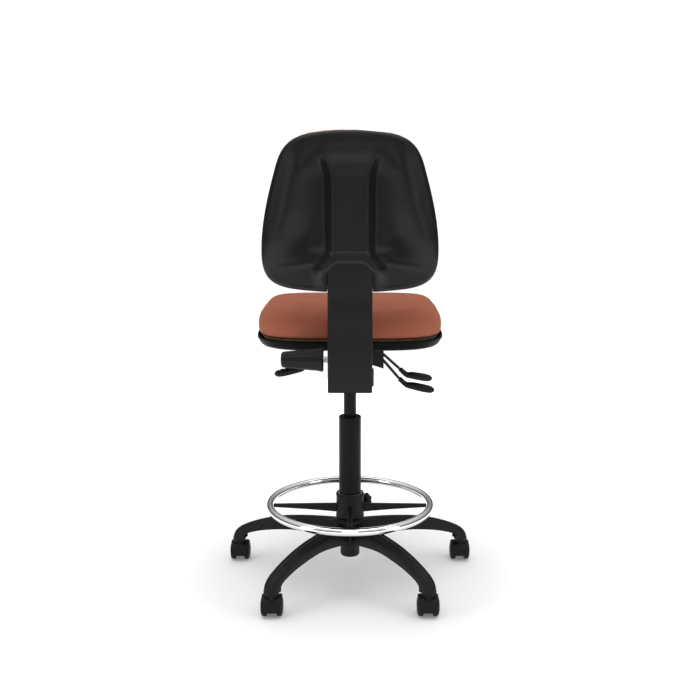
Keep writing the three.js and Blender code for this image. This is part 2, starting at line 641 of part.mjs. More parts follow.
/** [y, z] of a point in the back's frame: v up along the back, w behind the rim plane. */
function backPoint(v, w) {
  const [c, s] = [Math.cos(BACK_TILT), Math.sin(BACK_TILT)];
  const rise = (BACK_BOTTOM_Z - UPRIGHT_Z) / c;
  const along = rise + v;
  const off = w - BAR_DEPTH;
  return [BAR.uprightY - along * s - off * c, UPRIGHT_Z + along * c - off * s];
}

/** The bar's centre line shifted to its rear (positive) or front side. */
function barLine(offset, vTop) {
  const { uprightY, bendRadius } = BAR;
  const bend = Array.from({ length: 7 }, (_, i) => {
    const a = (i / 6) * (Math.PI / 2);
    const r = bendRadius + offset;
    return [uprightY + bendRadius - r * Math.sin(a), UPRIGHT_Z - r * Math.cos(a)];
  });
  return [[BACK_PIVOT.y - 6, BACK_PIVOT.z - offset], ...bend, backPoint(vTop, BAR_DEPTH + offset)];
}

function jBar() {
  const half = BAR.thickness / 2;
  const outline = [...barLine(half, BAR.top), ...barLine(-half, BAR.top).reverse()];
  const strip = plate(outline, -BAR.halfWidth, BAR.halfWidth);
  const eye = alongX(rod(11, -BAR.halfWidth, BAR.halfWidth, 20)).translate([0, BACK_PIVOT.y, BACK_PIVOT.z]);
  const bore = alongX(rod(PIVOT_PIN_RADIUS + GAP, -40, 40)).translate([0, BACK_PIVOT.y, BACK_PIVOT.z]);
  const slots = Array.from({ length: 6 }, (_, i) => {
    const [v0, v1] = [138 + 18 * i, 146 + 18 * i];
    return backPlate([[v0, 0], [v1, 0], [v1, 40], [v0, 40]], 9);
  });
  const boss = alongX(pipe(TENSION_SHAFT_RADIUS + GAP, 12, -BAR.halfWidth - 13, -BAR.halfWidth + 6));
  const shaftEnd = alongX(rod(TENSION_SHAFT_RADIUS + GAP, -BAR.halfWidth - 14, -BAR.halfWidth));
  const [y, z] = [TENSION.y, TENSION.z];
  return cut(join(strip, eye, boss.translate([0, y, z])), bore, shaftEnd.translate([0, y, z]), ...slots);
}

/** Side outline of the cover round the bend and the upright, drawn in by an inset. */
function coverOutline(inset, vTop) {
  const { bottom, rear, front } = COVER;
  const depth = 14 - inset;
  return [
    [front - inset, bottom + inset], [rear + inset, bottom + inset], [rear + inset, 682 - inset * 0.4],
    backPoint(-56 - inset * 0.4, BAR_DEPTH + depth), backPoint(vTop, BAR_DEPTH + depth),
    backPoint(vTop, BAR_DEPTH - depth), backPoint(-68 - inset, BAR_DEPTH - depth),
    [front - inset, 676 - inset],
  ];
}

/** Half of the cover, behind the bar's centre line or in front of it. */
function barCover(rearHalf) {
  const { halfWidth, tongueHalfWidth, wall, bottom } = COVER;
  const [shoulder, top] = [74, 140];
  const outer = join(
    plate(coverOutline(0, shoulder), -halfWidth, halfWidth),
    plate(coverOutline(4, top), -tongueHalfWidth, tongueHalfWidth),
  );
  const inner = join(
    plate(coverOutline(wall, shoulder - wall), -halfWidth + wall, halfWidth - wall),
    plate(coverOutline(wall + 4, top + 5), -tongueHalfWidth + wall, tongueHalfWidth - wall),
  );
  const shaftHole = alongX(rod(TENSION_SHAFT_RADIUS + 1, -halfWidth - 1, -halfWidth + wall + 1));
  const split = (offset) => [
    ...barLine(offset, 400), rearHalf ? [-500, 1100] : [0, 1100], rearHalf ? [-500, bottom - 50] : [0, 1000],
    ...(rearHalf ? [[BACK_PIVOT.y, bottom - 50]] : []),
  ];
  const keep = plate(split(rearHalf ? GAP : -GAP), -halfWidth - 5, halfWidth + 5);
  const mouth = plate(
    [[-100, 560], [-250, 560], [-250, 612], [-100, 612]], -BAR.halfWidth - 3, BAR.halfWidth + 3,
  );
  return cut(
    cut(outer, inner).intersect(keep), mouth, shaftHole.translate([0, TENSION.y, TENSION.z]),
  );
}

// ---- Back -------------------------------------------------------------------------------------------
// Right half of the back's outline in its own plane, u across and v up, bottom centre to top centre.
function backOutline(grow) {
  const path = new THREE.Path();
  path.moveTo(0, 2 - grow);
  path.bezierCurveTo(60, 2 - grow, 90, 3 - grow, 114, 5 - grow);
  path.bezierCurveTo(182, 9 - grow, 198 + grow, 30, 198 + grow, 84);
  path.bezierCurveTo(198 + grow, 148, 180 + grow, 215, 163 + grow, 272);
  path.bezierCurveTo(150 + grow, 318, 130 + grow, 338 + grow, 86, 346 + grow);
  path.bezierCurveTo(55, 351 + grow, 25, 353 + grow, 0, 353 + grow);
  return path;
}

const BACK_CENTRE = new THREE.Vector2(0, 175);
const BACK_WRAP_RADIUS = 520; // the back is curved round the sitter
const EDGE_OVERHANG = 4; // the cushion stands this far outside the shell

/** Loop points [u, v] round the back, scaled about its centre. */
function backLoop(scale, grow, perSide) {
  const right = backOutline(grow).getSpacedPoints(perSide);
  const left = right.slice(1, -1).reverse().map((p) => new THREE.Vector2(-p.x, p.y));
  return [...right, ...left].map((p) => p.clone().sub(BACK_CENTRE).multiplyScalar(scale).add(BACK_CENTRE));
}

function toChair(u, v, w) {
  const wrapped = w - u ** 2 / (2 * BACK_WRAP_RADIUS);
  const [y, z] = backPoint(v, wrapped);
  return new THREE.Vector3(u, y, z);
}

const bump = (t) => Math.exp(-t * t);

/** Height of the outer shell's rear surface over the rim plane, with a broad lobe along each side. */
function shellDepth(u, v, scale) {
  const lobe = 15 * bump((Math.abs(u) - 150 + 0.2 * (v - 150)) / 30) * THREE.MathUtils.smoothstep(v, 30, 110);
  return 13 + lobe + 6 * (1 - scale);
}

/** Loops of the back's outline: each ring is [scale, height over the rim plane]. */
function backRings(rings, grow, perSide, shaped = () => 0) {
  return rings.map(([scale, w]) =>
    backLoop(scale, grow, perSide).map((p) => toChair(p.x, p.y, w + shaped(p.x, p.y, scale, w))),
  );
}

/** An outline of [v, w] points in the back's frame, drawn out across the chair. */
const backPlate = (outline, halfWidth) =>
  plate(outline.map(([v, w]) => backPoint(v, w)), -halfWidth, halfWidth);

/** Dished outer shell with a raised channel down its middle, open below where the bar goes in. */
function backShell() {
  const perSide = 14;
  const shares = [0.95, 0.8, 0.62, 0.42, 0.2];
  const wall = 3;
  const dish = (inset, floor, shift) => loft([
    ...backRings([0.2, 0.6, 1 - inset].map((share) => [share, floor]), 0, perSide),
    ...backRings([[1 - inset, 6 + shift / 2]], 0, perSide),
    ...backRings(shares.map((share) => [share - inset, shift]), 0, perSide, shellDepth),
  ]);
  const channel = backPlate([[60, 2], [76, 42], [266, 42], [322, 20], [322, 2]], 49);
  const hollow = backPlate(
    [[58, -1], [76, 42 - wall], [265, 42 - wall], [319, 20 - wall], [319, -1]], 49 - wall,
  );
  const mouth = backPlate([[-10, 4], [86, 4], [86, 38.6], [-10, 64]], 54);
  return cut(join(dish(0, 0, 0), channel), dish(0.02, -4, -wall), hollow, mouth);
}

/** Moulded ply board: the cushion is upholstered on it and the carriage is bolted to it. */
function backBoard() {
  const shares = [0.12, 0.55, 0.94];
  const front = shares.map((s) => [s, -9]);
  const rear = shares.map((s) => [s, -1]).reverse();
  return loft(backRings([...front, ...rear], 0, 14));
}

/** Pad in front of the board and round its edge, thickest at the lumbar. */
function backCushion() {
  const pocket = [[0.12, -9.3], [0.55, -9.3], [0.945, -9.3], [0.945, -0.5]];
  const edge = [[0.975, -0.5], [1, -6], [1.004, -18], [0.985, -31], [0.93, -41], [0.82, -47]];
  const face = [[0.6, -50], [0.35, -51], [0.1, -51]];
  const lumbar = (_, v, scale, w) => (w < -30 ? -12 * bump((v - 105) / 75) : 0);
  return loft([
    ...backRings(pocket, 0, 14),
    ...backRings([...edge, ...face], EDGE_OVERHANG, 14, lumbar),
  ]);
}

/** Sleeve that runs on the bar and carries the board. */
function backCarriage() {
  const [low, high] = [150, 196];
  const slab = (v0, v1, w0, w1, halfWidth) => backPlate([[v0, w0], [v1, w0], [v1, w1], [v0, w1]], halfWidth);
  const block = join(slab(low, high, 12.5, 30.5, 33.5), slab(low + 4, high - 4, -1 + GAP, 13, 20));
  return cut(block, slab(low - 1, high + 1, 17.6, 26.4, BAR.halfWidth + 0.4));
}

function addBack() {
  add("j_bar", jBar(), BLACK_STEEL);
  add("bar_cover_rear", barCover(true), BLACK_PLASTIC);
  add("bar_cover_front", barCover(false), BLACK_PLASTIC);
  add("back_carriage", backCarriage(), NYLON);
  add("back_board", backBoard(), PLYWOOD);
  add("back_outer_shell", backShell(), SHELL_PLASTIC);
  add("back_cushion", backCushion(), FABRIC);
}

// ---- Assembly ---------------------------------------------------------------------------------------
add("base_star", baseStar(), BLACK_PLASTIC);
ARM_ANGLES.forEach((angle, i) => addCastor(i + 1, angle, CASTOR_TURNS[i]));
addGasLift();
addFootRing();
addMechanism();
addSeat();
addBack();

export default chair;
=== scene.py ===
"""Looks for the drafting chair: detailed pieces, procedural materials, padded cushions, studio and camera."""
import math

import bmesh
import bpy
from mathutils import Matrix, Vector


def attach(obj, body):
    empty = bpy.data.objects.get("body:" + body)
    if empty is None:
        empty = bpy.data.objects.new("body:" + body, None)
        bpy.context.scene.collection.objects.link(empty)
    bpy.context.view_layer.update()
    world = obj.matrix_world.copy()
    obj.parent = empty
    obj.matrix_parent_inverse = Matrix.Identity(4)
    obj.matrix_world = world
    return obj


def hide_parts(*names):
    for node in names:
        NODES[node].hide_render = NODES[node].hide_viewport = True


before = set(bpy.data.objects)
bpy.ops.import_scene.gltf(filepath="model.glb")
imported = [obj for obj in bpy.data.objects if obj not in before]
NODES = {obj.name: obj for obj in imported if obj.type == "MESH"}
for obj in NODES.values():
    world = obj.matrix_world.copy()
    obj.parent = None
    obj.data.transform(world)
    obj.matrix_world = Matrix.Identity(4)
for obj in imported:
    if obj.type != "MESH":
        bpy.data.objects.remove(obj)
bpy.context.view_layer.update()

MM = 0.001
TAU = 2 * math.pi


# ---- Small tools ----
def lerp(a, b, t):
    return a + (b - a) * t


def smooth(a, b, x):
    """0 at or before a, 1 at or after b, and a smooth rise between."""
    t = min(1.0, max(0.0, (x - a) / (b - a)))
    return t * t * (3 - 2 * t)


def bump(t):
    """1 at zero, falling away to 0 on both sides."""
    return math.exp(-t * t)


def through(points, x):
    """Smooth curve through (x, y) pairs, level beyond its ends."""
    if x <= points[0][0]:
        return points[0][1]
    if x >= points[-1][0]:
        return points[-1][1]
    i = next(k for k in range(len(points) - 1) if x <= points[k + 1][0])

    def slope(k):
        (x0, y0), (x1, y1) = points[max(k - 1, 0)], points[min(k + 1, len(points) - 1)]
        return (y1 - y0) / (x1 - x0)

    (x0, y0), (x1, y1) = points[i], points[i + 1]
    span = x1 - x0
    t = (x - x0) / span
    rise = slope(i) * (t**3 - 2 * t**2 + t) + slope(i + 1) * (t**3 - t**2)
    return lerp(y0, y1, t * t * (3 - 2 * t)) + span * rise


def spline(points, count):
    """count points along a Catmull-Rom curve through the given ones."""
    pts = [Vector(p) for p in points]
    pts = [2 * pts[0] - pts[1], *pts, 2 * pts[-1] - pts[-2]]
    spans = len(pts) - 3
    out = []
    for i in range(count):
        t = i / (count - 1) * spans
        k = min(int(t), spans - 1)
        t -= k
        a, b, c, d = pts[k : k + 4]
        square = (2 * a - 5 * b + 4 * c - d) * t**2
        cube = (3 * b - a - 3 * c + d) * t**3
        out.append(0.5 * ((2 * b) + (c - a) * t + square + cube))
    return out


def even(points, count, closed=False):
    """count points at equal steps along a polyline."""
    pts = [Vector(p) for p in points]
    if closed:
        pts.append(pts[0])
    lengths = [0.0]
    for a, b in zip(pts, pts[1:]):
        lengths.append(lengths[-1] + (b - a).length)
    steps = count if closed else count - 1
    out = []
    k = 0
    for i in range(count):
        want = lengths[-1] * i / steps
        while k < len(pts) - 2 and lengths[k + 1] < want:
            k += 1
        span = lengths[k + 1] - lengths[k]
        out.append(pts[k].lerp(pts[k + 1], (want - lengths[k]) / span if span else 0))
    return out


# ---- Mesh makers: each takes millimetres and gives a shape, (points, faces) ----
def skin(loops, caps=True):
    """Quads from closed loop to closed loop. caps fills the first and the last loop."""
    n = len(loops[0])
    points = [Vector(p) for loop in loops for p in loop]
    faces = []
    for i in range(len(loops) - 1):
        for j in range(n):
            a, b = i * n + j, i * n + (j + 1) % n
            faces.append((a, b, b + n, a + n))
    if caps:
        last = (len(loops) - 1) * n
        faces.append(tuple(reversed(range(n))))
        faces.append(tuple(last + j for j in range(n)))
    return points, faces


def circle(sides):
    """(cosine, sine) at equal steps round a circle."""
    return [(math.cos(TAU * j / sides), math.sin(TAU * j / sides)) for j in range(sides)]


def lathe(profile, sides):
    """A profile of (radius, height) turned about Z. It starts and ends on the axis or closes on itself."""
    capped = profile[0][0] == 0 and profile[-1][0] == 0
    rings = profile[1:-1] if capped else [*profile, profile[0]]
    points, faces = skin([[(r * c, r * s, z) for c, s in circle(sides)] for r, z in rings], caps=False)
    if capped:
        foot, head = len(points), len(points) + 1
        last = foot - sides
        points += [Vector((0, 0, profile[0][1])), Vector((0, 0, profile[-1][1]))]
        for j in range(sides):
            faces.append((foot, (j + 1) % sides, j))
            faces.append((head, last + j, last + (j + 1) % sides))
    return points, faces


def rounded(profile, radius):
    """The profile with every corner between its ends rounded to about a radius."""
    steps = 4
    out = [profile[0]]
    for p, q, r in zip(profile, profile[1:], profile[2:]):
        p, q, r = Vector(p), Vector(q), Vector(r)
        reach = min(radius, (p - q).length / 2.05, (r - q).length / 2.05)
        a, b = q + (p - q).normalized() * reach, q + (r - q).normalized() * reach
        out += [tuple(a.lerp(q, t).lerp(q.lerp(b, t), t)) for t in (i / steps for i in range(steps + 1))]
    return [*out, profile[-1]]


def prism(outline, x0, x1):
    """An outline of (y, z) points drawn out from x0 to x1."""
    return skin([[(x, y, z) for y, z in outline] for x in (x0, x1)])


def block(x0, x1, y0, y1, z0, z1):
    return prism([(y0, z0), (y1, z0), (y1, z1), (y0, z1)], x0, x1)


def sweep(path, radius, sides):
    """A round rod along a path."""
    pts = [Vector(p) for p in path]
    loops = []
    side = Vector((0, 1, 0))
    for i, p in enumerate(pts):
        along = (pts[min(i + 1, len(pts) - 1)] - pts[max(i - 1, 0)]).normalized()
        side = (side - along * side.dot(along)).normalized()
        other = along.cross(side)
        loops.append([p + side * (radius * c) + other * (radius * s) for c, s in circle(sides)])
    return skin(loops)


def moved(shape, *steps):
    """A shape after a run of matrices, the first one first."""
    points, faces = shape
    for step in steps:
        points = [step @ Vector(p) for p in points]
    return points, faces


def merged(*shapes):
    points, faces = [], []
    for more_points, more_faces in shapes:
        base = len(points)
        points += more_points
        faces += [tuple(base + k for k in face) for face in more_faces]
    return points, faces


def turn(degrees, axis="Z"):
    return Matrix.Rotation(math.radians(degrees), 4, axis)


def shift(x, y, z):
    return Matrix.Translation((x, y, z))


ALONG_X = turn(90, "Y")


# ---- Materials ----
class Maker:
    """Short calls for building the nodes of a material or a world, up to its shader."""

    def __init__(self, owner, shader="Principled BSDF"):
        owner.use_nodes = True
        self.owner = owner
        self.tree = owner.node_tree
        self.shader = self.tree.nodes[shader]
        self.coordinates = self.node("ShaderNodeTexCoord")
        self.place = self.coordinates.outputs["Object"]

    def feed(self, node, inputs):
        """Gives each input its value, or a link where that is another node's output."""
        for key, value in inputs.items():
            if isinstance(value, bpy.types.NodeSocket):
                self.tree.links.new(value, node.inputs[key])
            else:
                node.inputs[key].default_value = value

    def node(self, kind, inputs=None, **settings):
        made = self.tree.nodes.new(kind)
        for key, value in settings.items():
            setattr(made, key, value)
        self.feed(made, inputs or {})
        return made

    def set(self, **values):
        """Feeds the shader's inputs, the spaces in their names written as underscores."""
        self.feed(self.shader, {key.replace("_", " "): value for key, value in values.items()})

    def scaled(self, scale):
        return self.node("ShaderNodeMapping", {"Vector": self.place, "Scale": scale}).outputs["Vector"]

    def noise(self, scale, detail, rough=0.5, vector=None):
        inputs = {"Vector": vector or self.place, "Scale": scale, "Detail": detail, "Roughness": rough}
        return self.node("ShaderNodeTexNoise", inputs).outputs["Fac"]

    def wave(self, scale, direction, distortion):
        inputs = {"Vector": self.place, "Scale": scale, "Distortion": distortion, "Detail": 1.0,
                  "Detail Scale": 2.0}
        made = self.node("ShaderNodeTexWave", inputs, wave_type="BANDS", bands_direction=direction)
        return made.outputs["Fac"]

    def spread(self, source, low, high):
        """A source of 0 to 1 spread between two values."""
        inputs = {"Value": source, "To Min": low, "To Max": high}
        return self.node("ShaderNodeMapRange", inputs).outputs["Result"]

    def step(self, source, start, end, low, high):
        """A smooth change from low, where the source is at start, to high, where it is at end."""
        inputs = {"Value": source, "From Min": start, "From Max": end, "To Min": low, "To Max": high}
        return self.node("ShaderNodeMapRange", inputs, interpolation_type="SMOOTHSTEP").outputs["Result"]

    def maths(self, operation, a, b):
        return self.node("ShaderNodeMath", {0: a, 1: b}, operation=operation).outputs["Value"]

    def blend(self, *parts):
        """Sum of (source, weight) pairs."""
        weighted = [self.maths("MULTIPLY", source, weight) for source, weight in parts]
        total = weighted[0]
        for more in weighted[1:]:
            total = self.maths("ADD", total, more)
        return total

    def colour(self, source, *stops):
        """Base colour from a source through (position, colour) stops."""
        made = self.node("ShaderNodeValToRGB", {"Fac": source})
        elements = made.color_ramp.elements
        while len(elements) < len(stops):
            elements.new(0.5)
        for element, (at, colour) in zip(elements, stops):
            element.position = at
            element.color = (*colour, 1.0)
        self.set(Base_Color=made.outputs["Color"])

    def rough(self, source, low, high):
        """Roughness from a source of 0 to 1 spread between two values."""
        self.set(Roughness=self.spread(source, low, high))

    def bumps(self, height, strength, distance):
        made = self.node("ShaderNodeBump", {"Height": height, "Strength": strength, "Distance": distance})
        self.set(Normal=made.outputs["Normal"])


def material(name):
    return Maker(bpy.data.materials.new(name))


def tint(colour, factor):
    return tuple(c * factor for c in colour)


def plastic(name, colour, rough, grain=1400.0, depth=0.00008, level=0.5):
    """Moulded plastic: fine spark-eroded grain, faint flow marks and handling shine."""
    m = material(name)
    m.colour(m.noise(9.0, 4.0), (0.3, tint(colour, 0.85)), (0.7, tint(colour, 1.18)))
    fine = m.noise(grain, 2.0, 0.6)
    m.rough(m.blend((m.noise(26.0, 5.0), 0.7), (fine, 0.3)), rough - 0.07, rough + 0.09)
    m.bumps(fine, 0.35, depth)
    m.set(Specular_IOR_Level=level)
    return m.owner


def powder_coat(name, colour, rough):
    """Black powder-coated steel with its orange-peel surface."""
    m = material(name)
    m.colour(m.noise(14.0, 3.0), (0.3, tint(colour, 0.8)), (0.7, tint(colour, 1.2)))
    peel = m.noise(620.0, 2.0, 0.55)
    m.rough(peel, rough - 0.06, rough + 0.1)
    m.bumps(peel, 0.3, 0.00012)
    m.set(Specular_IOR_Level=0.3)
    return m.owner


def bright_steel():
    """Turned steel with fine marks round the axis and slight staining."""
    m = material("bright_steel")
    streaks = m.noise(60.0, 3.0, 0.5, m.scaled((1.0, 1.0, 40.0)))
    m.colour(streaks, (0.25, (0.40, 0.41, 0.42)), (0.75, (0.62, 0.63, 0.64)))
    m.rough(streaks, 0.22, 0.42)
    m.bumps(streaks, 0.15, 0.00003)
    m.set(Metallic=1.0)
    return m.owner


def chrome():
    """Plated tube: near mirror, with very slight ripple and a few duller patches."""
    m = material("chrome")
    m.colour(m.noise(7.0, 2.0), (0.3, (0.80, 0.81, 0.82)), (0.7, (0.90, 0.91, 0.92)))
    m.rough(m.noise(45.0, 5.0), 0.05, 0.16)
    m.bumps(m.noise(30.0, 2.0), 0.08, 0.0002)
    m.set(Metallic=1.0)
    return m.owner


# Scale of the wave texture for the cloth's threads.
THREADS = 330.0


def weave():
    """Wool-blend upholstery: threads a little under a millimetre apart, flecked and slightly fuzzy."""
    m = material("upholstery")
    across = m.wave(THREADS, "X", 1.2)
    along = m.wave(THREADS, "DIAGONAL", 1.2)
    threads = m.maths("MAXIMUM", across, along)
    fleck = m.noise(900.0, 3.0, 0.7)
    blotch = m.noise(11.0, 4.0)
    shade = m.blend((threads, 0.34), (fleck, 0.46), (blotch, 0.2))
    m.colour(shade, (0.30, (0.185, 0.056, 0.031)), (0.52, (0.32, 0.094, 0.053)), (0.75, (0.45, 0.148, 0.087)))
    m.rough(fleck, 0.82, 0.97)
    m.bumps(m.blend((threads, 1.0), (fleck, 0.8)), 0.55, 0.00035)
    m.set(Sheen_Weight=0.08, Sheen_Roughness=0.5, Sheen_Tint=(0.9, 0.55, 0.42, 1.0), Specular_IOR_Level=0.2)
    return m.owner


def plywood():
    """Layered beech ply, unfinished."""
    m = material("plywood")
    grain = m.noise(30.0, 6.0, 0.6, m.scaled((1.0, 14.0, 1.0)))
    m.colour(grain, (0.3, (0.36, 0.21, 0.10)), (0.7, (0.58, 0.38, 0.21)))
    m.rough(grain, 0.6, 0.8)
    m.bumps(grain, 0.2, 0.0003)
    return m.owner


MATERIALS = {
    "black_plastic": plastic("black_plastic", (0.0066, 0.0066, 0.007), 0.46, level=0.2),
    "shell_plastic": plastic("shell_plastic", (0.0056, 0.0056, 0.006), 0.40, 1100.0, 0.00005, 0.24),
    "castor_plastic": plastic("castor_plastic", (0.0085, 0.0085, 0.009), 0.42, 900.0, 0.00006, 0.14),
    # A darker, duller copy of the black plastic for the seat pan: painted shade for the pan lying in the
    # cushion's shadow under the seat.
    "pan_plastic_painted_shade": plastic("pan_plastic_painted_shade", (0.0042, 0.0042, 0.0045), 0.5, level=0.05),
    "column_plastic": plastic("column_plastic", (0.0075, 0.0075, 0.008), 0.36, level=0.1),
    "nylon": plastic("nylon", (0.62, 0.61, 0.57), 0.5, 700.0),
    "black_steel": powder_coat("black_steel", (0.0065, 0.0065, 0.007), 0.45),
    "bright_steel": bright_steel(),
    "chrome": chrome(),
    "plywood": plywood(),
    "upholstery": weave(),
}


# ---- Pieces ----
# Edges that turn by more degrees than this are shaded as edges and can be bevelled.
EDGE_ANGLE = 32


def made_mesh(name, shape):
    """A mesh of a shape in metres, its seams joined and its faces turned outward."""
    points, faces = shape
    mesh = bpy.data.meshes.new(name)
    mesh.from_pydata([Vector(p) * MM for p in points], [], faces)
    work = bmesh.new()
    work.from_mesh(mesh)
    bmesh.ops.remove_doubles(work, verts=work.verts, dist=1e-6)
    bmesh.ops.recalc_face_normals(work, faces=work.faces)
    work.to_mesh(mesh)
    work.free()
    return mesh


def piece(name, shape, slot, body, replaced=(), crease=EDGE_ANGLE, bevel=0.0, look=None):
    """One visible object riding on a body, in the record's material slot, standing for CAD nodes.

    look is the material's key when it is not the slot's own."""
    mesh = made_mesh(name, shape)
    mesh.shade_smooth()
    mesh.set_sharp_from_angle(angle=math.radians(crease))
    obj = bpy.data.objects.new(name, mesh)
    bpy.context.scene.collection.objects.link(obj)
    mesh.materials.append(MATERIALS[look or slot])
    if bevel:
        round_edges(obj, bevel, 3)
    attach(obj, body)
    if replaced:
        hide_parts(*replaced)
    return obj


def round_edges(obj, width, segments):
    made = obj.modifiers.new("edges", "BEVEL")
    made.width = width * MM
    made.segments = segments
    made.limit_method = "ANGLE"
    made.angle_limit = math.radians(EDGE_ANGLE)
    made.harden_normals = True
    made.use_clamp_overlap = True


def finish_node(name, slot, bevel=0.0):
    """A CAD node that stays visible: its material and small edge roundings."""
    obj = NODES[name]
    obj.data.materials.clear()
    obj.data.materials.append(MATERIALS[slot])
    if bevel:
        round_edges(obj, bevel, 2)


def applied(obj):
    """Makes the modifiers' result the object's own mesh."""
    bpy.context.view_layer.update()
    result = bpy.data.meshes.new_from_object(obj.evaluated_get(bpy.context.evaluated_depsgraph_get()))
    obj.modifiers.clear()
    obj.data = result


# ---- Castors ----
ARM_ANGLES = (90, 162, 234, 306, 18)
BASE_RADIUS = 315
CASTOR_TURNS = (0, 180, 180, 180, 180)
CASTOR_TRAIL = 8
# The CAD wheels have a radius of 25 and 16 sides, and stand on one of the flats.
AXLE_Z = 25 * math.cos(math.pi / 16)
WHEEL_RADIUS = 24.5
WHEEL_INNER, WHEEL_OUTER = 12.1, 27.1
WHEEL_BORE = 3.4
HOOD_FROM, HOOD_TO = -16, 196
HOOD_INNER_RADIUS = 25.8
# The hood's rounded edge: (distance from the middle, outer radius).
HOOD_EDGE = [(23.6, 26.4), (23.4, 27.0), (22.4, 27.7), (20.6, 28.1), (18, 28.3)]
FORK_HALF, FORK_RADIUS = 11.2, 10.5
TOWER_RADIUS, TOWER_TOP = 14, 36.4
STEM_BORE = 6.2


def wheel_shape():
    """The right wheel: dished hub cap, shallow ring in the face, round shoulder and a blind bore inside."""
    cap = [(0, WHEEL_OUTER), (5.5, 27.0), (6.6, 26.3), (8.0, 26.9), (13, 26.6), (14.2, 25.7), (15.4, 26.2)]
    shoulder = [(19, 25.2), (22, 23.9), (23.8, 22.2), (24.4, 19.8), (WHEEL_RADIUS, 14.2), (23.4, WHEEL_INNER)]
    bore = [(11, WHEEL_INNER), (10, 13.4), (WHEEL_BORE, 13.4), (WHEEL_BORE, 22.2), (0, 22.2)]
    return moved(lathe(cap + shoulder + bore, 56), ALONG_X)


def arc_points(radius, start, end, steps):
    """Points in the Y-Z plane about the axle, angles in degrees from +Y."""
    angles = [math.radians(lerp(start, end, i / steps)) for i in range(steps + 1)]
    return [(radius * math.cos(a), radius * math.sin(a)) for a in angles]


def hood_shape():
    """The cover round both wheels, its fork body between them and the tower round the stem."""
    loops = []
    for x, outer in [(-x, outer) for x, outer in HOOD_EDGE] + HOOD_EDGE[::-1]:
        rim = arc_points(outer, HOOD_FROM, HOOD_TO, 44)
        rim += arc_points(HOOD_INNER_RADIUS, HOOD_TO, HOOD_FROM, 44)
        loops.append([(x, y, z) for y, z in rim])
    profile = [(0, FORK_HALF), (FORK_RADIUS, FORK_HALF), (FORK_RADIUS, -FORK_HALF), (0, -FORK_HALF)]
    fork = moved(lathe(rounded(profile, 1.5), 48), ALONG_X)
    web = prism(arc_points(26.5, HOOD_FROM, HOOD_TO, 30) + [(0, 0)], -FORK_HALF, FORK_HALF)
    profile = [(0, 6), (FORK_HALF, 6), (FORK_HALF, 27), (TOWER_RADIUS, 28.6), (TOWER_RADIUS, TOWER_TOP),
               (STEM_BORE, TOWER_TOP), (STEM_BORE, 30), (0, 30)]
    tower = moved(lathe(rounded(profile, 0.8), 48), shift(0, CASTOR_TRAIL, 0))
    return merged(skin(loops), fork, web, tower)


def make_castors():
    wheel, hood = wheel_shape(), hood_shape()
    for i, (angle, rest) in enumerate(zip(ARM_ANGLES, CASTOR_TURNS), 1):
        a = math.radians(angle)
        stem = shift(BASE_RADIUS * math.cos(a), BASE_RADIUS * math.sin(a), AXLE_Z)
        axle = stem @ turn(rest) @ shift(0, -CASTOR_TRAIL, 0)
        name = f"castor_{i}"
        piece(f"{name}_cover", moved(hood, axle), "castor_plastic", name, [f"{name}_hood"], 40)
        for side, flip in (("right", 0), ("left", 180)):
            spin = f"{name}_wheel_{side}"
            piece(f"{spin}_detailed", moved(wheel, axle @ turn(flip)), "castor_plastic", spin, [spin], 40)
        finish_node(f"{name}_stem", "bright_steel")
        finish_node(f"{name}_axle", "bright_steel")


# ---- Five-star base ----
ARM_END_Z = 62
# The arm's crown and lower edge, in its own vertical plane.
ARM_TOP = [(18, 0, 151), (110, 0, 147), (190, 0, 138), (250, 0, 123), (302, 0, 102), (325, 0, 84),
           (333, 0, ARM_END_Z)]
ARM_UNDER = [(18, 0, 94), (80, 0, 104), (150, 0, 110), (225, 0, 101), (275, 0, 88), (297, 0, 76),
             (299, 0, ARM_END_Z)]
ARM_STATIONS = 48
ARM_WALL = 4.2
ARM_RIB = [(40, 146), (110, 142), (190, 132), (250, 117), (292, 99), (292, 90), (250, 106), (150, 122),
           (40, 116)]
COLUMN_BORE = 25.5
HUB_PROFILE = [(COLUMN_BORE, 88), (40, 88), (43, 92), (43, 146), (39, 153), (33.5, 156.5), (32.5, 158),
               (COLUMN_BORE, 158), (COLUMN_BORE, 150)]


def arm_half_width(t):
    """Narrowing quickly next to the hub and slowly further out."""
    return 24 - 7 * math.sqrt(t)


def arm_section(t):
    """Half of the arm's section, crown to lower edge: (share of half width, drop from the crown in mm)."""
    flute = 2.6 * smooth(0.04, 0.2, t) * (1 - smooth(0.78, 0.9, t))
    return [(0, 0), (0.14, 0.1), (0.22, 0.5), (0.30, 0.7 + flute), (0.40, 1.2 + flute), (0.52, 1.6 + flute),
            (0.60, 2.1), (0.66, 2.3), (0.78, 3.8), (0.88, 6.4), (0.96, 10.5), (1.0, 16.0)]


def arm_loop(t, top, under):
    """One closed loop round the arm's wall, t along it: the right side outside and inside, then the left."""
    half = arm_half_width(t)
    down = (under - top).normalized()
    depth = (under - top).length

    def at(fall, across):
        return top + down * fall + Vector((0, across, 0))

    outside = [at(min(drop, depth * 0.8), share * half) for share, drop in arm_section(t)]
    edge = [at(depth * f, half * g) for f, g in ((0.6, 1.0), (0.94, 1.0), (1.0, 0.97))]
    inside = [at(max(depth * f, ARM_WALL + 1), (half - ARM_WALL) * g)
              for f, g in ((1.0, 1.0), (0.6, 0.98), (0.3, 0.92), (0.12, 0.6), (0.12, 0.0))]
    right = outside + edge + inside
    return right + [Vector((p.x, -p.y, p.z)) for p in reversed(right[1:-1])]


def arm_shape():
    """Hollow fluted arm, open below."""
    tops = even(spline(ARM_TOP, 200), ARM_STATIONS)
    unders = even(spline(ARM_UNDER, 200), ARM_STATIONS)
    last = ARM_STATIONS - 1
    return skin([arm_loop(i / last, top, under) for i, (top, under) in enumerate(zip(tops, unders))])


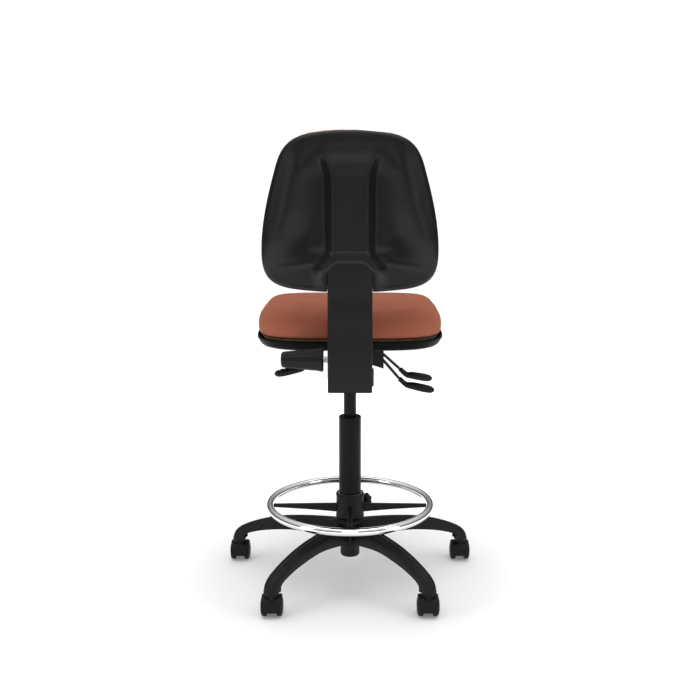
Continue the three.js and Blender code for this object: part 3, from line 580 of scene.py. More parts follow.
def arm_end_shape():
    """Socket for the castor's stem with a small skirt round it."""
    boss = lathe(rounded([(STEM_BORE, 0), (15.5, 0), (15.5, 5), (8.5, 19), (STEM_BORE, 19)], 1), 40)
    skirt = lathe([(14.8, -0.3), (16.8, -0.3), (17.2, 0), (17.2, 3), (14.8, 4)], 40)
    return moved(merged(boss, skirt), shift(BASE_RADIUS, 0, ARM_END_Z))


def make_base():
    rib = moved(prism(ARM_RIB, -1.6, 1.6), turn(-90))
    arm = merged(arm_shape(), arm_end_shape(), rib)
    hub = lathe(rounded(HUB_PROFILE, 1.6), 96)
    arms = [moved(arm, turn(a)) for a in ARM_ANGLES]
    piece("base_star_detailed", merged(hub, *arms), "black_plastic", "base", ["base_star"], 38)


# ---- Gas lift ----
OUTER_TUBE = [(6, 54), (20.5, 54), (23.5, 55.5), (25, 58.5), (25, 418), (23, 418), (23, 59), (6, 59)]
SLEEVE = [(25.4, 158.5), (28.5, 158.5), (28.5, 425.5), (27.2, 427), (25.4, 427)]
GUIDE_BUSH = [(16.4, 345), (22.6, 345), (22.6, 418.5), (25, 418.5), (25, 424), (21.6, 427), (16.4, 427)]
PRESSURE_TUBE = [(5.6, 225), (15, 225), (16, 226.5), (16, 545), (14.6, 595), (13.8, 596), (4, 596), (4, 572),
                 (0.4, 572), (0.4, 542), (14, 542), (14, 229), (5.6, 229)]


def make_gas_lift():
    def turned(name, profile, slot, body, node, sides=72, look=None):
        piece(name, lathe(profile, sides), slot, body, [node], 40, look=look)

    turned("outer_tube_smooth", rounded(OUTER_TUBE, 1.0), "black_steel", "base", "column_outer_tube")
    turned("sleeve_smooth", rounded(SLEEVE, 0.5), "black_plastic", "base", "column_sleeve", 96,
           "column_plastic")
    turned("guide_bush_smooth", rounded(GUIDE_BUSH, 0.5), "black_plastic", "base", "column_guide_bush")
    turned("pressure_tube_smooth", PRESSURE_TUBE, "black_steel", "lift", "pressure_tube",
           look="column_plastic")
    for name in ("thrust_bearing", "piston_rod", "valve_pin"):
        finish_node(name, "bright_steel")


# ---- Foot ring ----
RING_RADIUS = 207
RING_TUBE = 10
RING_Z = 192.5
CLAMP_ANGLE = 45
CLAMP_Z = 190
# Each station of a spoke: (distance from the axis, half width, underside, top).
SPOKE = [(33, 6.5, 172, 193.5), (60, 6.0, 174.5, 193.2), (110, 5.5, 178.5, 192.8), (170, 4.8, 182, 192.2),
         (198, 4.5, 183.5, 192)]
SPOKE_CHAMFER = 1.6
RING_BARREL = [(32, 160.6), (35.6, 160.6), (36.4, 162), (36.4, 166.5), (35.6, 167.3), (35.6, 216.5),
               (36.4, 217.3), (36.4, 221), (34.8, 224), (32, 224)]
CLAMP_BOSS = [(4.3, 32), (10.5, 32), (9.2, 44.5), (8.6, 46), (4.3, 46)]
# The clamp knob: (radius, distance from the column's axis, share of the lobes' depth).
CLAMP_KNOB = [(10, 47, 0.2), (12.5, 47.6, 0.5), (14.8, 49.5, 0.9), (15.6, 52, 1), (15.6, 63, 1),
              (14.9, 66, 0.9), (12.6, 68, 0.6), (8, 69.4, 0.2), (7, 69.2, 0), (6.4, 68.4, 0), (2, 68.2, 0)]
KNOB_LOBES, KNOB_LOBE_DEPTH = 6, 0.1


def spoke_shape():
    """Tapered bar from the hub to the ring, its long edges chamfered."""
    c = SPOKE_CHAMFER
    loops = []
    for r, half, under, top in SPOKE:
        loops.append([(r, -half + c, under), (r, half - c, under), (r, half, under + c), (r, half, top - c),
                      (r, half - c, top), (r, -half + c, top), (r, -half, top - c), (r, -half, under + c)])
    return skin(loops)


def at_clamp(shape):
    """A shape made along +Z from the column's axis, laid along the clamp's screw."""
    return moved(shape, ALONG_X, shift(0, 0, CLAMP_Z), turn(CLAMP_ANGLE))


def wavy_ring(radius, swing, waves, sides):
    """Points round a circle whose radius swings to both sides of its mean."""
    radii = [radius + swing * math.cos(TAU * waves * j / sides) for j in range(sides)]
    return [(r * c, r * s) for r, (c, s) in zip(radii, circle(sides))]


def clamp_knob_shape():
    """Lobed grip on the screw that tightens the collet."""
    loops = []
    for radius, z, share in CLAMP_KNOB:
        ring = wavy_ring(radius, KNOB_LOBE_DEPTH * share * radius, KNOB_LOBES, 96)
        loops.append([(x, y, z) for x, y in ring])
    screw = lathe([(0, 32.2), (3.4, 32.2), (4, 33), (4, 52), (0, 52)], 32)
    return at_clamp(merged(skin(loops), screw))


def make_foot_ring():
    tube = [(RING_RADIUS + RING_TUBE * c, RING_Z + RING_TUBE * s) for c, s in circle(24)]
    piece("foot_ring_smooth", lathe(tube, 120), "chrome", "foot_ring", ["foot_ring"])
    barrel = lathe(rounded(RING_BARREL, 0.6), 96)
    boss = at_clamp(lathe(rounded(CLAMP_BOSS, 0.6), 40))
    spokes = [moved(spoke_shape(), turn(a)) for a in (0, 90, 180, 270)]
    hub = merged(barrel, boss, *spokes)
    piece("foot_ring_hub_detailed", hub, "black_plastic", "foot_ring", ["foot_ring_hub"], 35)
    knob = clamp_knob_shape()
    piece("clamp_knob_detailed", knob, "black_plastic", "ring_clamp_knob", ["foot_ring_clamp_knob"], 35)
    finish_node("foot_ring_collet", "nylon")


# ---- Mechanism, levers and tension knob ----
LEVER_Z = 608.4
LEVER_ROD_RADIUS = 3.5
LEVER_BEND, BEND_REACH = 60, 7
# The grip's middle line from the rod's end, and its half width and half depth by the share of its length.
HANDLE_LINE = [(0, 0, 0), (17, 0, -14.3), (34, 0, -18), (61, 0, -24), (84, 0, -29)]
HANDLE_WIDTHS = [(0, 6.0), (0.12, 6.4), (0.24, 7.8), (0.4, 12), (0.6, 13.5), (0.8, 13), (0.94, 11), (1, 7.6)]
HANDLE_DEPTHS = [(0, 6.0), (0.12, 6.2), (0.24, 7.0), (0.4, 9), (0.6, 9.8), (0.8, 9.8), (0.94, 8.4), (1, 5.6)]
LEVERS = {
    "height_lever": dict(side=1, y=0, inner=-9, run=72, drop=65, sweep=17, dent=0),
    "back_angle_lever": dict(side=1, y=-65, inner=26, run=62, drop=72, sweep=0, dent=0),
    "seat_tilt_lever": dict(side=-1, y=-30, inner=26, run=42, drop=38, sweep=0, dent=1.4),
}
ROD_IN_HANDLE = 14
HANDLE_STATIONS = 64
# Finger dents lie between these shares of the grip's length, one every DENT_STEP.
DENT_FROM, DENT_TO, DENT_STEP = 0.42, 0.94, 0.13


def lever_point(lever, x, z, across=0.0):
    """A point of a lever: x outward, z up from its rod's level, and across its own vertical plane."""
    a = math.radians(lever["sweep"])
    beyond = max(0.0, x - LEVER_BEND)
    return Vector((lever["side"] * (x - beyond * (1 - math.cos(a)) - across * math.sin(a)),
                   lever["y"] + beyond * math.sin(a) + across * math.cos(a), LEVER_Z + z))


def lever_rod_shape(lever):
    """Bent rod from the housing, level at first and then down into the grip."""
    reach = math.hypot(lever["run"], lever["drop"])

    def sloping(distance):
        share = distance / reach
        return lever_point(lever, LEVER_BEND + lever["run"] * share, -lever["drop"] * share)

    corner = lever_point(lever, LEVER_BEND, 0)
    start, end = lever_point(lever, LEVER_BEND - BEND_REACH, 0), sloping(BEND_REACH)
    curve = [start.lerp(corner, t).lerp(corner.lerp(end, t), t) for t in (i / 8 for i in range(9))]
    path = [lever_point(lever, lever["inner"], 0), *curve, sloping(reach + ROD_IN_HANDLE)]
    return sweep(path, LEVER_ROD_RADIUS, 24)


def handle_stations(lever):
    """Along the grip: (middle, direction, half width, half depth, dent), with a domed end."""
    origin = Vector((LEVER_BEND + lever["run"], 0, -lever["drop"]))
    line = even(spline(HANDLE_LINE, 160), HANDLE_STATIONS)
    last = HANDLE_STATIONS - 1
    stations = []
    for i, p in enumerate(line):
        t = i / last
        along = (line[min(i + 1, last)] - line[max(i - 1, 0)]).normalized()
        wave = 0.5 - 0.5 * math.cos(TAU * (t - DENT_FROM) / DENT_STEP)
        dent = lever["dent"] * wave if DENT_FROM < t < DENT_TO else 0
        stations.append((origin + p, along, through(HANDLE_WIDTHS, t), through(HANDLE_DEPTHS, t), dent))
    end, along, wide, deep, _ = stations[-1]
    for shrink, reach in ((0.8, 1.2), (0.5, 2.2), (0.2, 2.7)):
        stations.append((end + along * reach, along, wide * shrink, deep * shrink, 0))
    return stations


def handle_shape(lever):
    """Moulded paddle: round collar, waist and a flat grip with a domed end."""
    loops = []
    for p, along, wide, deep, dent in handle_stations(lever):
        up = Vector((-along.z, 0, along.x))
        loop = []
        for c, s in circle(32):
            q = p + up * (s * deep - (dent if s > 0.3 else 0))
            loop.append(lever_point(lever, q.x, q.z, wide * c))
        loops.append(loop)
    return skin(loops)


TENSION_Y = -262
TENSION_Z = 620
TENSION_FLUTES, FLUTE_SWING = 15, 0.45
# The tension knob: (radius, x, share of the flutes' depth).
TENSION_KNOB = [(6, -154.6, 0), (12, -155, 0), (15.8, -153.6, 0.2), (17.8, -150.4, 0.5), (18.8, -145, 0.8),
                (25.3, -74, 1), (26.3, -68, 0.5), (27.3, -64.6, 0.1), (27.3, -62, 0), (26, -60.1, 0),
                (12, -60.1, 0)]
WASHER = 1.2
# Bolt heads under the seat (x, y), one of each on both sides.
SEAT_BOLTS = [(30, -48), (66, 98)]
SEAT_PLATE_UNDER = 621.6
HOUSING_BOLT_YS = (35, 80)
HOUSING_HALF = 48.2


def tension_knob_shape():
    """Tapered grip with shallow finger flutes, widest next to the cover."""
    loops = []
    for radius, x, depth in TENSION_KNOB:
        swing = depth * FLUTE_SWING
        ring = wavy_ring(radius - swing, -swing, TENSION_FLUTES, 120)
        loops.append([(x, y, z) for y, z in ring])
    return moved(skin(loops), shift(0, TENSION_Y, TENSION_Z))


def hexagon_head(across, height):
    """Bolt head with a washer face, made along +Z from its seat."""
    r = across / math.sqrt(3)
    head = [[(r * share * c, r * share * s, z) for c, s in circle(6)]
            for share, z in ((1, WASHER), (1, height - 0.8), (0.88, height))]
    rim = across * 0.75
    washer = lathe(rounded([(0, 0), (rim, 0), (rim, WASHER), (0, WASHER)], 0.3), 32)
    return merged(washer, skin(head))


def make_bolts():
    """Bolt heads under the seat plate and on both sides of the housing."""
    bolt = hexagon_head(10, 5)
    under = [moved(bolt, turn(180, "X"), shift(side * x, y, SEAT_PLATE_UNDER))
             for side in (-1, 1) for x, y in SEAT_BOLTS]
    piece("seat_bolts", merged(*under), "bright_steel", "seat", bevel=0.3)
    sides = [moved(bolt, turn(90 * side, "Y"), shift(HOUSING_HALF * side, y, 580))
             for side in (-1, 1) for y in HOUSING_BOLT_YS]
    piece("housing_bolts", merged(*sides), "bright_steel", "lift", bevel=0.3)


def make_mechanism():
    finish_node("mechanism_housing", "black_steel", 0.8)
    finish_node("lever_block", "black_plastic", 0.8)
    finish_node("seat_plate", "black_steel", 0.6)
    for name in ("seat_pivot_pin", "back_pivot_pin", "tension_shaft"):
        finish_node(name, "bright_steel")
    knob = tension_knob_shape()
    piece("tension_knob_detailed", knob, "black_plastic", "tension_knob", ["tension_knob"], 40)
    for name, lever in LEVERS.items():
        piece(f"{name}_rod_smooth", lever_rod_shape(lever), "black_steel", name, [f"{name}_rod"], 40)
        piece(f"{name}_grip", handle_shape(lever), "black_plastic", name, [f"{name}_handle"], 50)
    make_bolts()


# ---- Seat ----
SEAT_HALF_WIDTH, SEAT_HALF_DEPTH, SEAT_CENTRE_Y, SEAT_POWER = 230, 221, 16, 4
PAN_BOTTOM_Z = 625.5
PAN_RIM_Z = 652
# The pan's section, outside and back inside: (share of the seat's outline, height).
PAN_OUTSIDE = [(0.3, PAN_BOTTOM_Z), (0.85, PAN_BOTTOM_Z), (0.9, 626.3), (0.932, 628.8), (0.954, 633),
               (0.967, 638), (0.974, 642.5), (0.979, 643.2), (0.984, 644.5), (0.986, 650), (0.983, PAN_RIM_Z)]
PAN_INSIDE = [(0.975, PAN_RIM_Z), (0.972, 646), (0.958, 641), (0.944, 636.5), (0.915, 631), (0.84, 628.8),
              (0.3, 628.8)]
SEAT_PAD_BOTTOM, SEAT_PAD_TOP = 652.5, 724
# The cushion before it is filled: (share of the seat's outline, share of the thickness).
SEAT_PAD = [(0.25, 0), (0.6, 0), (0.9, 0), (0.972, 0), (0.988, 0.04), (0.994, 0.16), (0.994, 0.32),
            (0.985, 0.52), (0.966, 0.70), (0.93, 0.83), (0.88, 0.905), (0.80, 0.955), (0.66, 0.985),
            (0.45, 0.997), (0.25, 1)]
SIM_FRAMES = 20
CLOTH_STIFFNESS = 12
CLOTH_BENDING = 0.6
VOXEL = 5


def seat_loop(scale, z, count=160, fall=0.0):
    """Plan outline at a height, scaled about its centre. fall sinks its front and rear."""
    points = []
    for i in range(count):
        a = TAU * (i + 0.5) / count
        c, s = math.cos(a), math.sin(a)
        reach = (abs(c) ** SEAT_POWER + abs(s) ** SEAT_POWER) ** (-1 / SEAT_POWER) * scale
        x, y = SEAT_HALF_WIDTH * reach * c, SEAT_CENTRE_Y + SEAT_HALF_DEPTH * reach * s
        points.append(Vector((x, y, z - fall * seat_fall(y))))
    return even(points, count, closed=True)


def seat_fall(y):
    """How far the seat's top sinks toward its front and its rear."""
    return 20 * max(0.0, (y - 110) / 127) ** 2 + 11 * max(0.0, (-40 - y) / 165) ** 1.5


def make_seat_pan():
    """Thin dished tray with a rolled rim and a step below it."""
    shape = skin([seat_loop(share, z) for share, z in PAN_OUTSIDE + PAN_INSIDE])
    # The pan wears the darker copy of the black plastic, not its slot's own: painted shade under the cushion.
    piece("seat_pan_detailed", shape, "black_plastic", "seat", ["seat_pan"], 50, look="pan_plastic_painted_shade")
    finish_node("seat_board", "plywood", 0.8)


def cushion_sim(obj, pressure, cap):
    """Inflates a closed cushion as cloth and lets no point move further than the cap, in millimetres."""
    remesh = obj.modifiers.new("voxels", "REMESH")
    remesh.mode = "VOXEL"
    remesh.voxel_size = VOXEL * MM
    applied(obj)
    start = [v.co.copy() for v in obj.data.vertices]
    cloth = obj.modifiers.new("cloth", "CLOTH")
    cloth.settings.use_pressure = True
    cloth.settings.uniform_pressure_force = pressure
    cloth.settings.effector_weights.gravity = 0.0
    cloth.settings.tension_stiffness = CLOTH_STIFFNESS
    cloth.settings.compression_stiffness = CLOTH_STIFFNESS
    cloth.settings.bending_stiffness = CLOTH_BENDING
    cloth.collision_settings.use_collision = False
    cloth.point_cache.frame_start = 1
    cloth.point_cache.frame_end = SIM_FRAMES
    for step in range(1, SIM_FRAMES + 1):
        bpy.context.scene.frame_set(step)
    applied(obj)
    for vertex, rest in zip(obj.data.vertices, start):
        way = vertex.co - rest
        if way.length > cap * MM:
            vertex.co = rest + way.normalized() * cap * MM
    bpy.context.scene.frame_set(1)


def keep_above(obj, lowest):
    """Lifts the points that lie below a height, in millimetres."""
    for vertex in obj.data.vertices:
        vertex.co.z = max(vertex.co.z, lowest * MM)


def refine(obj):
    """Divides the mesh once and makes all its modifiers final."""
    made = obj.modifiers.new("finer", "SUBSURF")
    made.levels = made.render_levels = 1
    applied(obj)


def soften(obj):
    """Evens out the voxel steps. It takes effect when the object is refined."""
    made = obj.modifiers.new("even", "SMOOTH")
    made.factor = 0.6
    made.iterations = 6


def soft_piece(name, shape, body, replaced, pressure, cap, lowest=None):
    """A filled cushion. lowest is the height that the simulation may not push it below."""
    obj = piece(name, shape, "upholstery", body, replaced, 180)
    cushion_sim(obj, pressure, cap)
    if lowest:
        keep_above(obj, lowest)
    soften(obj)
    refine(obj)
    obj.data.shade_smooth()
    obj.data.materials.clear()
    obj.data.materials.append(MATERIALS["upholstery"])


def make_seat_cushion():
    thick = SEAT_PAD_TOP - SEAT_PAD_BOTTOM
    loops = [seat_loop(share, SEAT_PAD_BOTTOM + rise * thick, 120, rise**1.5) for share, rise in SEAT_PAD]
    soft_piece("seat_cushion_soft", skin(loops), "seat", ["seat_cushion"], 3.5, 6, PAN_RIM_Z + 0.4)


# ---- Back bar's cover ----
BACK_TILT = math.radians(6)
BAR_Y = -265
BAR_DEPTH = 22
BEND_RADIUS = 38
PIVOT_Z = 586
UPRIGHT_Z = PIVOT_Z + BEND_RADIUS
BACK_BOTTOM_Z = 769
COVER_BOTTOM_Z = 553.2
# Each half's depth from the split line: (height, depth).
COVER_REAR = [(COVER_BOTTOM_Z, 43), (554.4, 44.4), (557, 45), (620, 45), (679, 45), (684, 43.6), (710, 24.5),
              (717, 19.5), (724, 17.2)]
COVER_FRONT = [(592, 22.0), (593.4, 23.2), (596, 23.6), (640, 23.6), (668, 23.6), (674, 22.6), (702, 12.6),
               (708, 11.2)]
COVER_WALL = 3
COVER_GAP = 0.15
STRAP_HALF = 49.5
REAR_STRAP_DEPTH, FRONT_STRAP_DEPTH = 14.2, 11
STRAP_ROUND, TONGUE_ROUND = 5, 3
# The tongue that carries the strap on up inside the shell.
TONGUE_HALF, TONGUE_THINNER, TONGUE_VS = 34, 4, (50, 100, 140)
# The strap's upper end, under the lip of the back's opening: (v up the back, half width).
STRAP_END = [(-40, STRAP_HALF), (0, STRAP_HALF), (55.5, STRAP_HALF), (75, 30.5)]


def back_point(v, w):
    """(y, z) in the chair for v up the back and w behind its rim plane."""
    c, s = math.cos(BACK_TILT), math.sin(BACK_TILT)
    along = (BACK_BOTTOM_Z - UPRIGHT_Z) / c + v
    off = w - BAR_DEPTH
    return BAR_Y - along * s - off * c, UPRIGHT_Z + along * c - off * s


def cover_section(half_width, depth, radius, side):
    """The cover across the bar, a web joining two flanges: points (x, distance from the split)."""
    arc = [(half_width - radius + radius * math.sin(a), depth - radius + radius * math.cos(a))
           for a in (math.radians(15 * k) for k in range(7))]
    inner = half_width - COVER_WALL
    right = [*arc, (half_width, 0), (inner, 0), (inner, depth - COVER_WALL)]
    left = [(-x, d) for x, d in reversed(right)]
    return [(x, side * d) for x, d in right + left]


def cover_loops(stations, radius, side):
    """stations: (y, z) on the split line, unit (ny, nz) pointing to the rear, depth and half width there."""
    gap = side * COVER_GAP
    loops = []
    for (y, z), (ny, nz), depth, half_width in stations:
        section = cover_section(half_width, depth, min(radius, depth * 0.45), side)
        loops.append([(x, y + ny * (d + gap), z + nz * d) for x, d in section])
    return loops


def split_point(z):
    """The bar's centre line at a height, and the direction square to it pointing to the rear."""
    if z < UPRIGHT_Z:
        return (BAR_Y + 0.3, z), (-1.0, 0.0)
    y, _ = back_point((z - BACK_BOTTOM_Z) / math.cos(BACK_TILT), BAR_DEPTH)
    turned = smooth(UPRIGHT_Z, UPRIGHT_Z + 40, z)
    return (y, z), (-math.cos(BACK_TILT * turned), -math.sin(BACK_TILT * turned))


def cover_half_shape(profile, depth, side):
    """The rear (side 1) or front (side -1) half: deep block, strap and a tongue up into the shell."""
    square = (-math.cos(BACK_TILT), -math.sin(BACK_TILT))
    strap = [(*split_point(z), d, STRAP_HALF) for z, d in profile]
    strap += [(back_point(v, BAR_DEPTH), square, depth, half) for v, half in STRAP_END]
    thin = depth - TONGUE_THINNER
    tongue = [(back_point(v, BAR_DEPTH), square, thin, TONGUE_HALF) for v in TONGUE_VS]
    parts = (strap, STRAP_ROUND), (tongue, TONGUE_ROUND)
    return merged(*(skin(cover_loops(stations, radius, side)) for stations, radius in parts))


def make_bar_cover():
    """Two snapped halves round the bar."""
    floor = block(-47, 47, BAR_Y - 44.5, BAR_Y, COVER_BOTTOM_Z, COVER_BOTTOM_Z + COVER_WALL)
    rear = merged(cover_half_shape(COVER_REAR, REAR_STRAP_DEPTH, 1), floor)
    front = cover_half_shape(COVER_FRONT, FRONT_STRAP_DEPTH, -1)
    piece("cover_rear_half", rear, "black_plastic", "back_bar", ["bar_cover_rear"], 35)
    piece("cover_front_half", front, "black_plastic", "back_bar", ["bar_cover_front"], 35)
    finish_node("j_bar", "black_steel", 0.6)


# ---- Back ----
BACK_CENTRE = Vector((0, 175))
WRAP_RADIUS = 520
LUMBAR_V, LUMBAR_SPREAD, LUMBAR_SWELL = 105, 75, 12
# The back cushion's section: (share of its outline, height over the rim plane, share of the lumbar swell).
BACK_PAD_INNER = [(0.12, -9.6), (0.5, -9.6), (0.8, -9.6), (0.946, -9.6), (0.947, -1.0)]
BACK_PAD = [(0.968, -1.0, 0), (0.988, -2.5, 0), (0.996, -8, 0), (0.997, -18, 0), (0.985, -28, 0.3),
            (0.955, -36, 0.6), (0.90, -42, 0.8), (0.8, -45.5, 1), (0.65, -47.5, 1), (0.45, -48.5, 1),
            (0.25, -49, 1), (0.1, -49, 1)]


def bezier(a, b, c, d):
    """Points along a cubic curve, its last point left out."""
    steps = 40
    a, b, c, d = Vector(a), Vector(b), Vector(c), Vector(d)
    return [a * (1 - t) ** 3 + b * 3 * t * (1 - t) ** 2 + c * 3 * t * t * (1 - t) + d * t**3
            for t in (i / steps for i in range(steps))]


def back_outline(grow, count):
    """Closed outline of the back in its own plane, (u across, v up), points evenly spaced."""
    g = grow
    right = [
        *bezier((0, 2 - g), (60, 2 - g), (90, 3 - g), (114, 5 - g)),
        *bezier((114, 5 - g), (182, 9 - g), (198 + g, 30), (198 + g, 84)),
        *bezier((198 + g, 84), (198 + g, 148), (180 + g, 215), (163 + g, 272)),
        *bezier((163 + g, 272), (150 + g, 318), (130 + g, 338 + g), (86, 346 + g)),
        *bezier((86, 346 + g), (55, 351 + g), (25, 353 + g), (0, 353 + g)),
    ]
    left = [Vector((-p.x, p.y)) for p in reversed(right[1:])]
    return even([*right, Vector((0, 353 + g)), *left], count, closed=True)


def to_chair(u, v, w):
    """A point of the back in the chair, the back bent round a cylinder."""
    y, z = back_point(v, w - u * u / (2 * WRAP_RADIUS))
    return Vector((u, y, z))


def back_loop(outline, scale, height):
    """The outline scaled about the back's centre, each point at height(u, v) over the rim plane."""
    points = [(p - BACK_CENTRE) * scale + BACK_CENTRE for p in outline]
    return [to_chair(p.x, p.y, height(p.x, p.y)) for p in points]


def ridge(points, u, v, width):
    """1 on a curve of (v, u) points, falling away from it across u."""
    return bump((abs(u) - through(points, v)) / width)


SIDE_LOBE = [(70, 172), (124, 160), (178, 141), (235, 127), (270, 116), (323, 104)]
VALLEY = [(80, 122), (124, 101), (178, 80), (265, 68), (300, 64)]
CREASE = [(0, 80), (53, 76), (64, 70), (98, 62), (140, 54), (168, 48), (200, 40)]
CHANNEL_FOOT, CHANNEL_HEAD, FACET_TOP = (70, 99), 262, 326
SHELL_WALL = 2.4
SHELL_RIM_HEIGHT = 6.0
# Shares of the outline where the rim's inner wall and the end of its round shoulder lie.
RIM_INNER, SHOULDER_END = 0.984, 0.945
SHELL_FLOOR = 9.0
# The opening for the strap: half width, height, and where its cut-off corners lie (across plus up).
MOUTH_HALF, MOUTH_TOP, MOUTH_CORNER = 51, 72, 102.6


def channel_height(a, v):
    """The channel over the bar: a flat-topped rib, its upper end a facet that slopes and flares out."""
    past = max(0.0, v - CHANNEL_HEAD)
    top = 42 - 0.3 * past - 0.0016 * past**2
    half = 38 + 13 * smooth(CHANNEL_HEAD - 10, FACET_TOP, v)
    side = 20 + 10 * smooth(CHANNEL_HEAD - 30, FACET_TOP, v)
    across = 1 - smooth(half - 2, half + side, a)
    along = smooth(*CHANNEL_FOOT, v) * (1 - smooth(FACET_TOP - 45, FACET_TOP + 18, v))
    return top, across * along


def mouth_distance(a, v):
    """How far a point lies outside the strap's opening, its corners taken gently."""
    sides = (a - MOUTH_HALF, v - MOUTH_TOP, (a + v - MOUTH_CORNER) / math.sqrt(2))
    return 3 * math.log(sum(math.exp(d / 3) for d in sides))


def hood_height(a, v):
    """The collar over the opening: a lip that rises to a ridge and rolls off outside it."""
    d = mouth_distance(a, v)
    roof = lerp(21, 41, smooth(15, 62, v)) - 2 * (1 - smooth(0, 8, d))
    return roof, 1 - smooth(7, 38, d)


def shell_height(u, v, scale):
    """The outer shell's rear surface over the rim plane."""
    a = abs(u)
    lobe = 15 * ridge(SIDE_LOBE, u, v, 33) * smooth(30, 125, v) * (1 - smooth(265, 350, v))
    valley = 8 * ridge(VALLEY, u, v, 32) * smooth(70, 130, v) * (1 - smooth(250, 320, v))
    dents = 3 * bump((a - 60) / 12) * bump((v - 88) / 11) + 2.5 * bump((a - 84) / 13) * bump((v - 90) / 12)
    line = through(CREASE, a)
    inside = 1 - smooth(158, 170, a)
    crease = 1.1 * bump((v - line - 4) / 6) * smooth(60, 84, a) * inside
    below = 1.8 * (1 - smooth(line - 6, line + 1, v)) * inside * smooth(4, 18, v)
    surface = 14 + 5 * (1 - scale) + lobe - valley - dents + crease - below
    rises = [max(0.0, top - surface) * share for top, share in (channel_height(a, v), hood_height(a, v))]
    return surface + sum(rise**8 for rise in rises) ** (1 / 8)


def inner_height(u, v, scale):
    """The shell's inner surface: level, and hollowed under the channel and the hood."""
    hollow = 1 - smooth(46, 60, abs(u))
    return lerp(SHELL_FLOOR, max(SHELL_FLOOR, shell_height(u, v, scale) - SHELL_WALL), hollow)


def shell_rings():
    """(scale, share of the full height) from the rim over its round shoulder to the centre."""
    steps = 92
    corner = [math.radians(90 * k / 7) for k in range(8)]
    shoulder = [(1 - (1 - SHOULDER_END) * (1 - math.cos(a)), math.sin(a)) for a in corner]
    return shoulder + [(SHOULDER_END * (1 - k / steps), 1.0) for k in range(1, steps)]


def shell_shape():
    """Thin moulded shell, from the middle of its inside out to the rim and back over the rear surface."""
    outline = back_outline(0, 300)
    loops = []
    for k in range(60):
        scale = lerp(0.02, RIM_INNER, k / 59)
        loops.append(back_loop(outline, scale, lambda u, v: inner_height(u, v, scale)))
    for scale, level in ((RIM_INNER, 5.0), (RIM_INNER, 0.2), (1.0, 0.2)):
        loops.append(back_loop(outline, scale, lambda u, v: level))
    for scale, share in shell_rings():
        loops.append(back_loop(outline, scale,
                               lambda u, v: lerp(SHELL_RIM_HEIGHT, shell_height(u, v, scale), share)))
    return skin(loops)


def mouth_shape():
    """The strap's opening as a solid to take out of the shell."""
    corner_up, corner_in = MOUTH_CORNER - MOUTH_HALF, MOUTH_CORNER - MOUTH_TOP
    right = [(MOUTH_HALF, -30), (MOUTH_HALF, corner_up), (corner_in, MOUTH_TOP)]
    outline = rounded(right + [(-u, v) for u, v in reversed(right)], 9)
    return skin([[Vector((u, *back_point(v, w))) for u, v in outline] for w in (-4, 80)])


def make_back_shell():
    obj = piece("back_shell_detailed", shell_shape(), "shell_plastic", "backrest", ["back_outer_shell"], 60)
    cut_away(obj, mouth_shape(), 50)


def cut_away(obj, shape, crease):
    """Takes a closed shape out of an object's mesh for good, and marks its creases again."""
    mesh = made_mesh("cutter", shape)
    cutter = bpy.data.objects.new("cutter", mesh)
    bpy.context.scene.collection.objects.link(cutter)
    made = obj.modifiers.new("opening", "BOOLEAN")
    made.operation = "DIFFERENCE"
    made.solver = "EXACT"
    made.object = cutter
    applied(obj)
    bpy.data.objects.remove(cutter)
    bpy.data.meshes.remove(mesh)
    obj.data.set_sharp_from_angle(angle=math.radians(crease))


def make_back_cushion():
    """Pad on the board, wrapped over its edge, fullest at the lumbar."""
    inner, outer = back_outline(0, 120), back_outline(4, 120)
    loops = [back_loop(inner, scale, lambda u, v: w) for scale, w in BACK_PAD_INNER]
    for scale, w, share in BACK_PAD:
        loops.append(back_loop(
            outer, scale, lambda u, v: w - share * LUMBAR_SWELL * bump((v - LUMBAR_V) / LUMBAR_SPREAD)))
    soft_piece("back_cushion_soft", skin(loops), "backrest", ["back_cushion"], 3.0, 5)
    finish_node("back_board", "plywood", 0.6)
    finish_node("back_carriage", "nylon", 0.6)


# ---- Studio, in metres ----
FLOOR_HALF = 2.6
CAMERA_PLACE = (0, -2.354, 1.0)
CAMERA_PITCH = 9.71
CAMERA_LENS = 48.6
# Brightness of the floor's glow near and far, and of the surroundings from level up to overhead.
GLOW_FROM, GLOW_TO, GLOW_NEAR, GLOW_FAR = 0.25, 1.3, 0.12, 0.8
DOME_FROM, DOME_TO, DOME_LOW, DOME_HIGH = 0.0, 0.85, 0.05, 0.8
BACKDROP = 1.05
# Each light: (name, place, the point it faces, width, height, watts).
LIGHTS = [
    ("overhead", (0, -0.3, 3.4), (0, 0, 0.6), 3.4, 3.4, 50),
    ("behind_camera", (0, -4.2, 1.7), (0, 0, 0.6), 1.6, 1.6, 17),
    ("side_left", (-2.5, -1.6, 1.3), (0, -0.3, 0.9), 0.9, 1.8, 12),
    ("side_right", (2.5, -1.6, 1.3), (0, -0.3, 0.9), 0.9, 1.8, 12),
]


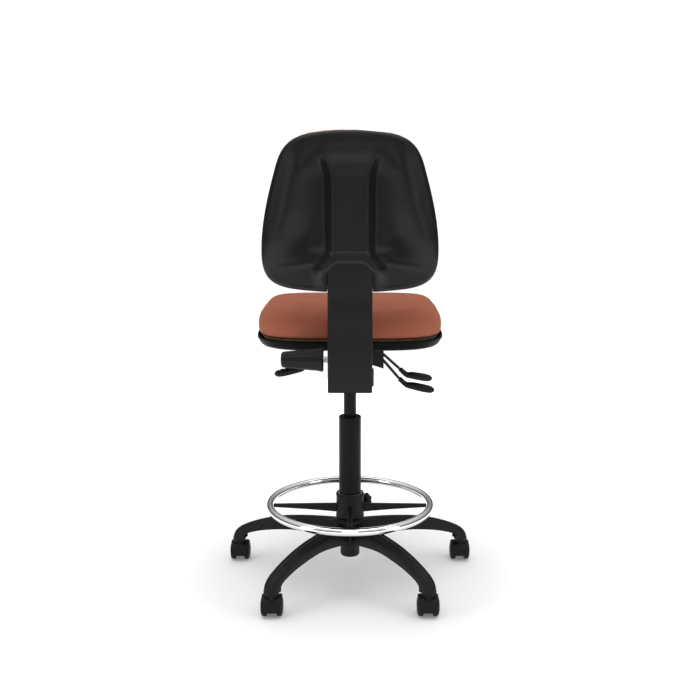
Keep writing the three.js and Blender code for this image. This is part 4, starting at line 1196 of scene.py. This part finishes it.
def make_floor():
    """A pale sheet under the chair, with a glow that hides where it meets the white surroundings."""
    m = material("studio_floor")
    m.colour(m.noise(0.8, 2.0), (0.3, (0.90, 0.90, 0.90)), (0.7, (0.91, 0.91, 0.91)))
    distance = m.node("ShaderNodeVectorMath", {0: m.place}, operation="LENGTH").outputs["Value"]
    glow = m.step(distance, GLOW_FROM, GLOW_TO, GLOW_NEAR, GLOW_FAR)
    m.set(Roughness=0.9, Specular_IOR_Level=0.0, Emission_Color=(1, 1, 1, 1), Emission_Strength=glow)
    corners = [(x * FLOOR_HALF, y * FLOOR_HALF, 0) for x, y in ((-1, -1), (1, -1), (1, 1), (-1, 1))]
    mesh = bpy.data.meshes.new("studio_floor")
    mesh.from_pydata(corners, [], [(0, 1, 2, 3)])
    mesh.materials.append(m.owner)
    floor = bpy.data.objects.new("studio_floor", mesh)
    bpy.context.scene.collection.objects.link(floor)


def area_light(name, place, aim, width, height, power):
    data = bpy.data.lights.new(name, "AREA")
    data.shape = "RECTANGLE"
    data.size, data.size_y = width, height
    data.energy = power
    light = bpy.data.objects.new(name, data)
    light.location = place
    light.rotation_euler = (Vector(aim) - Vector(place)).to_track_quat("-Z", "Y").to_euler()
    bpy.context.scene.collection.objects.link(light)


def make_world():
    """White surroundings to the camera, that light the chair gently and more from above."""
    bpy.context.scene.world = bpy.data.worlds.new("studio")
    m = Maker(bpy.context.scene.world, "Background")
    way = m.node("ShaderNodeSeparateXYZ", {"Vector": m.coordinates.outputs["Generated"]})
    dome = m.step(way.outputs["Z"], DOME_FROM, DOME_TO, DOME_LOW, DOME_HIGH)
    seen = m.node("ShaderNodeLightPath").outputs["Is Camera Ray"]
    strength = m.node("ShaderNodeMix", {"Factor": seen, "A": dome, "B": BACKDROP}).outputs["Result"]
    m.set(Color=(1, 1, 1, 1), Strength=strength)


def make_camera():
    data = bpy.data.cameras.new("camera")
    data.lens = CAMERA_LENS
    data.sensor_width = 36
    camera = bpy.data.objects.new("camera", data)
    camera.location = CAMERA_PLACE
    camera.rotation_euler = (math.radians(90 - CAMERA_PITCH), 0, 0)
    bpy.context.scene.collection.objects.link(camera)
    bpy.context.scene.camera = camera


make_camera()
make_floor()
make_world()
for light in LIGHTS:
    area_light(*light)
make_castors()
make_base()
make_gas_lift()
make_foot_ring()
make_mechanism()
make_seat_pan()
make_seat_cushion()
make_bar_cover()
make_back_shell()
make_back_cushion()

bpy.context.scene.view_settings.view_transform = "Standard"
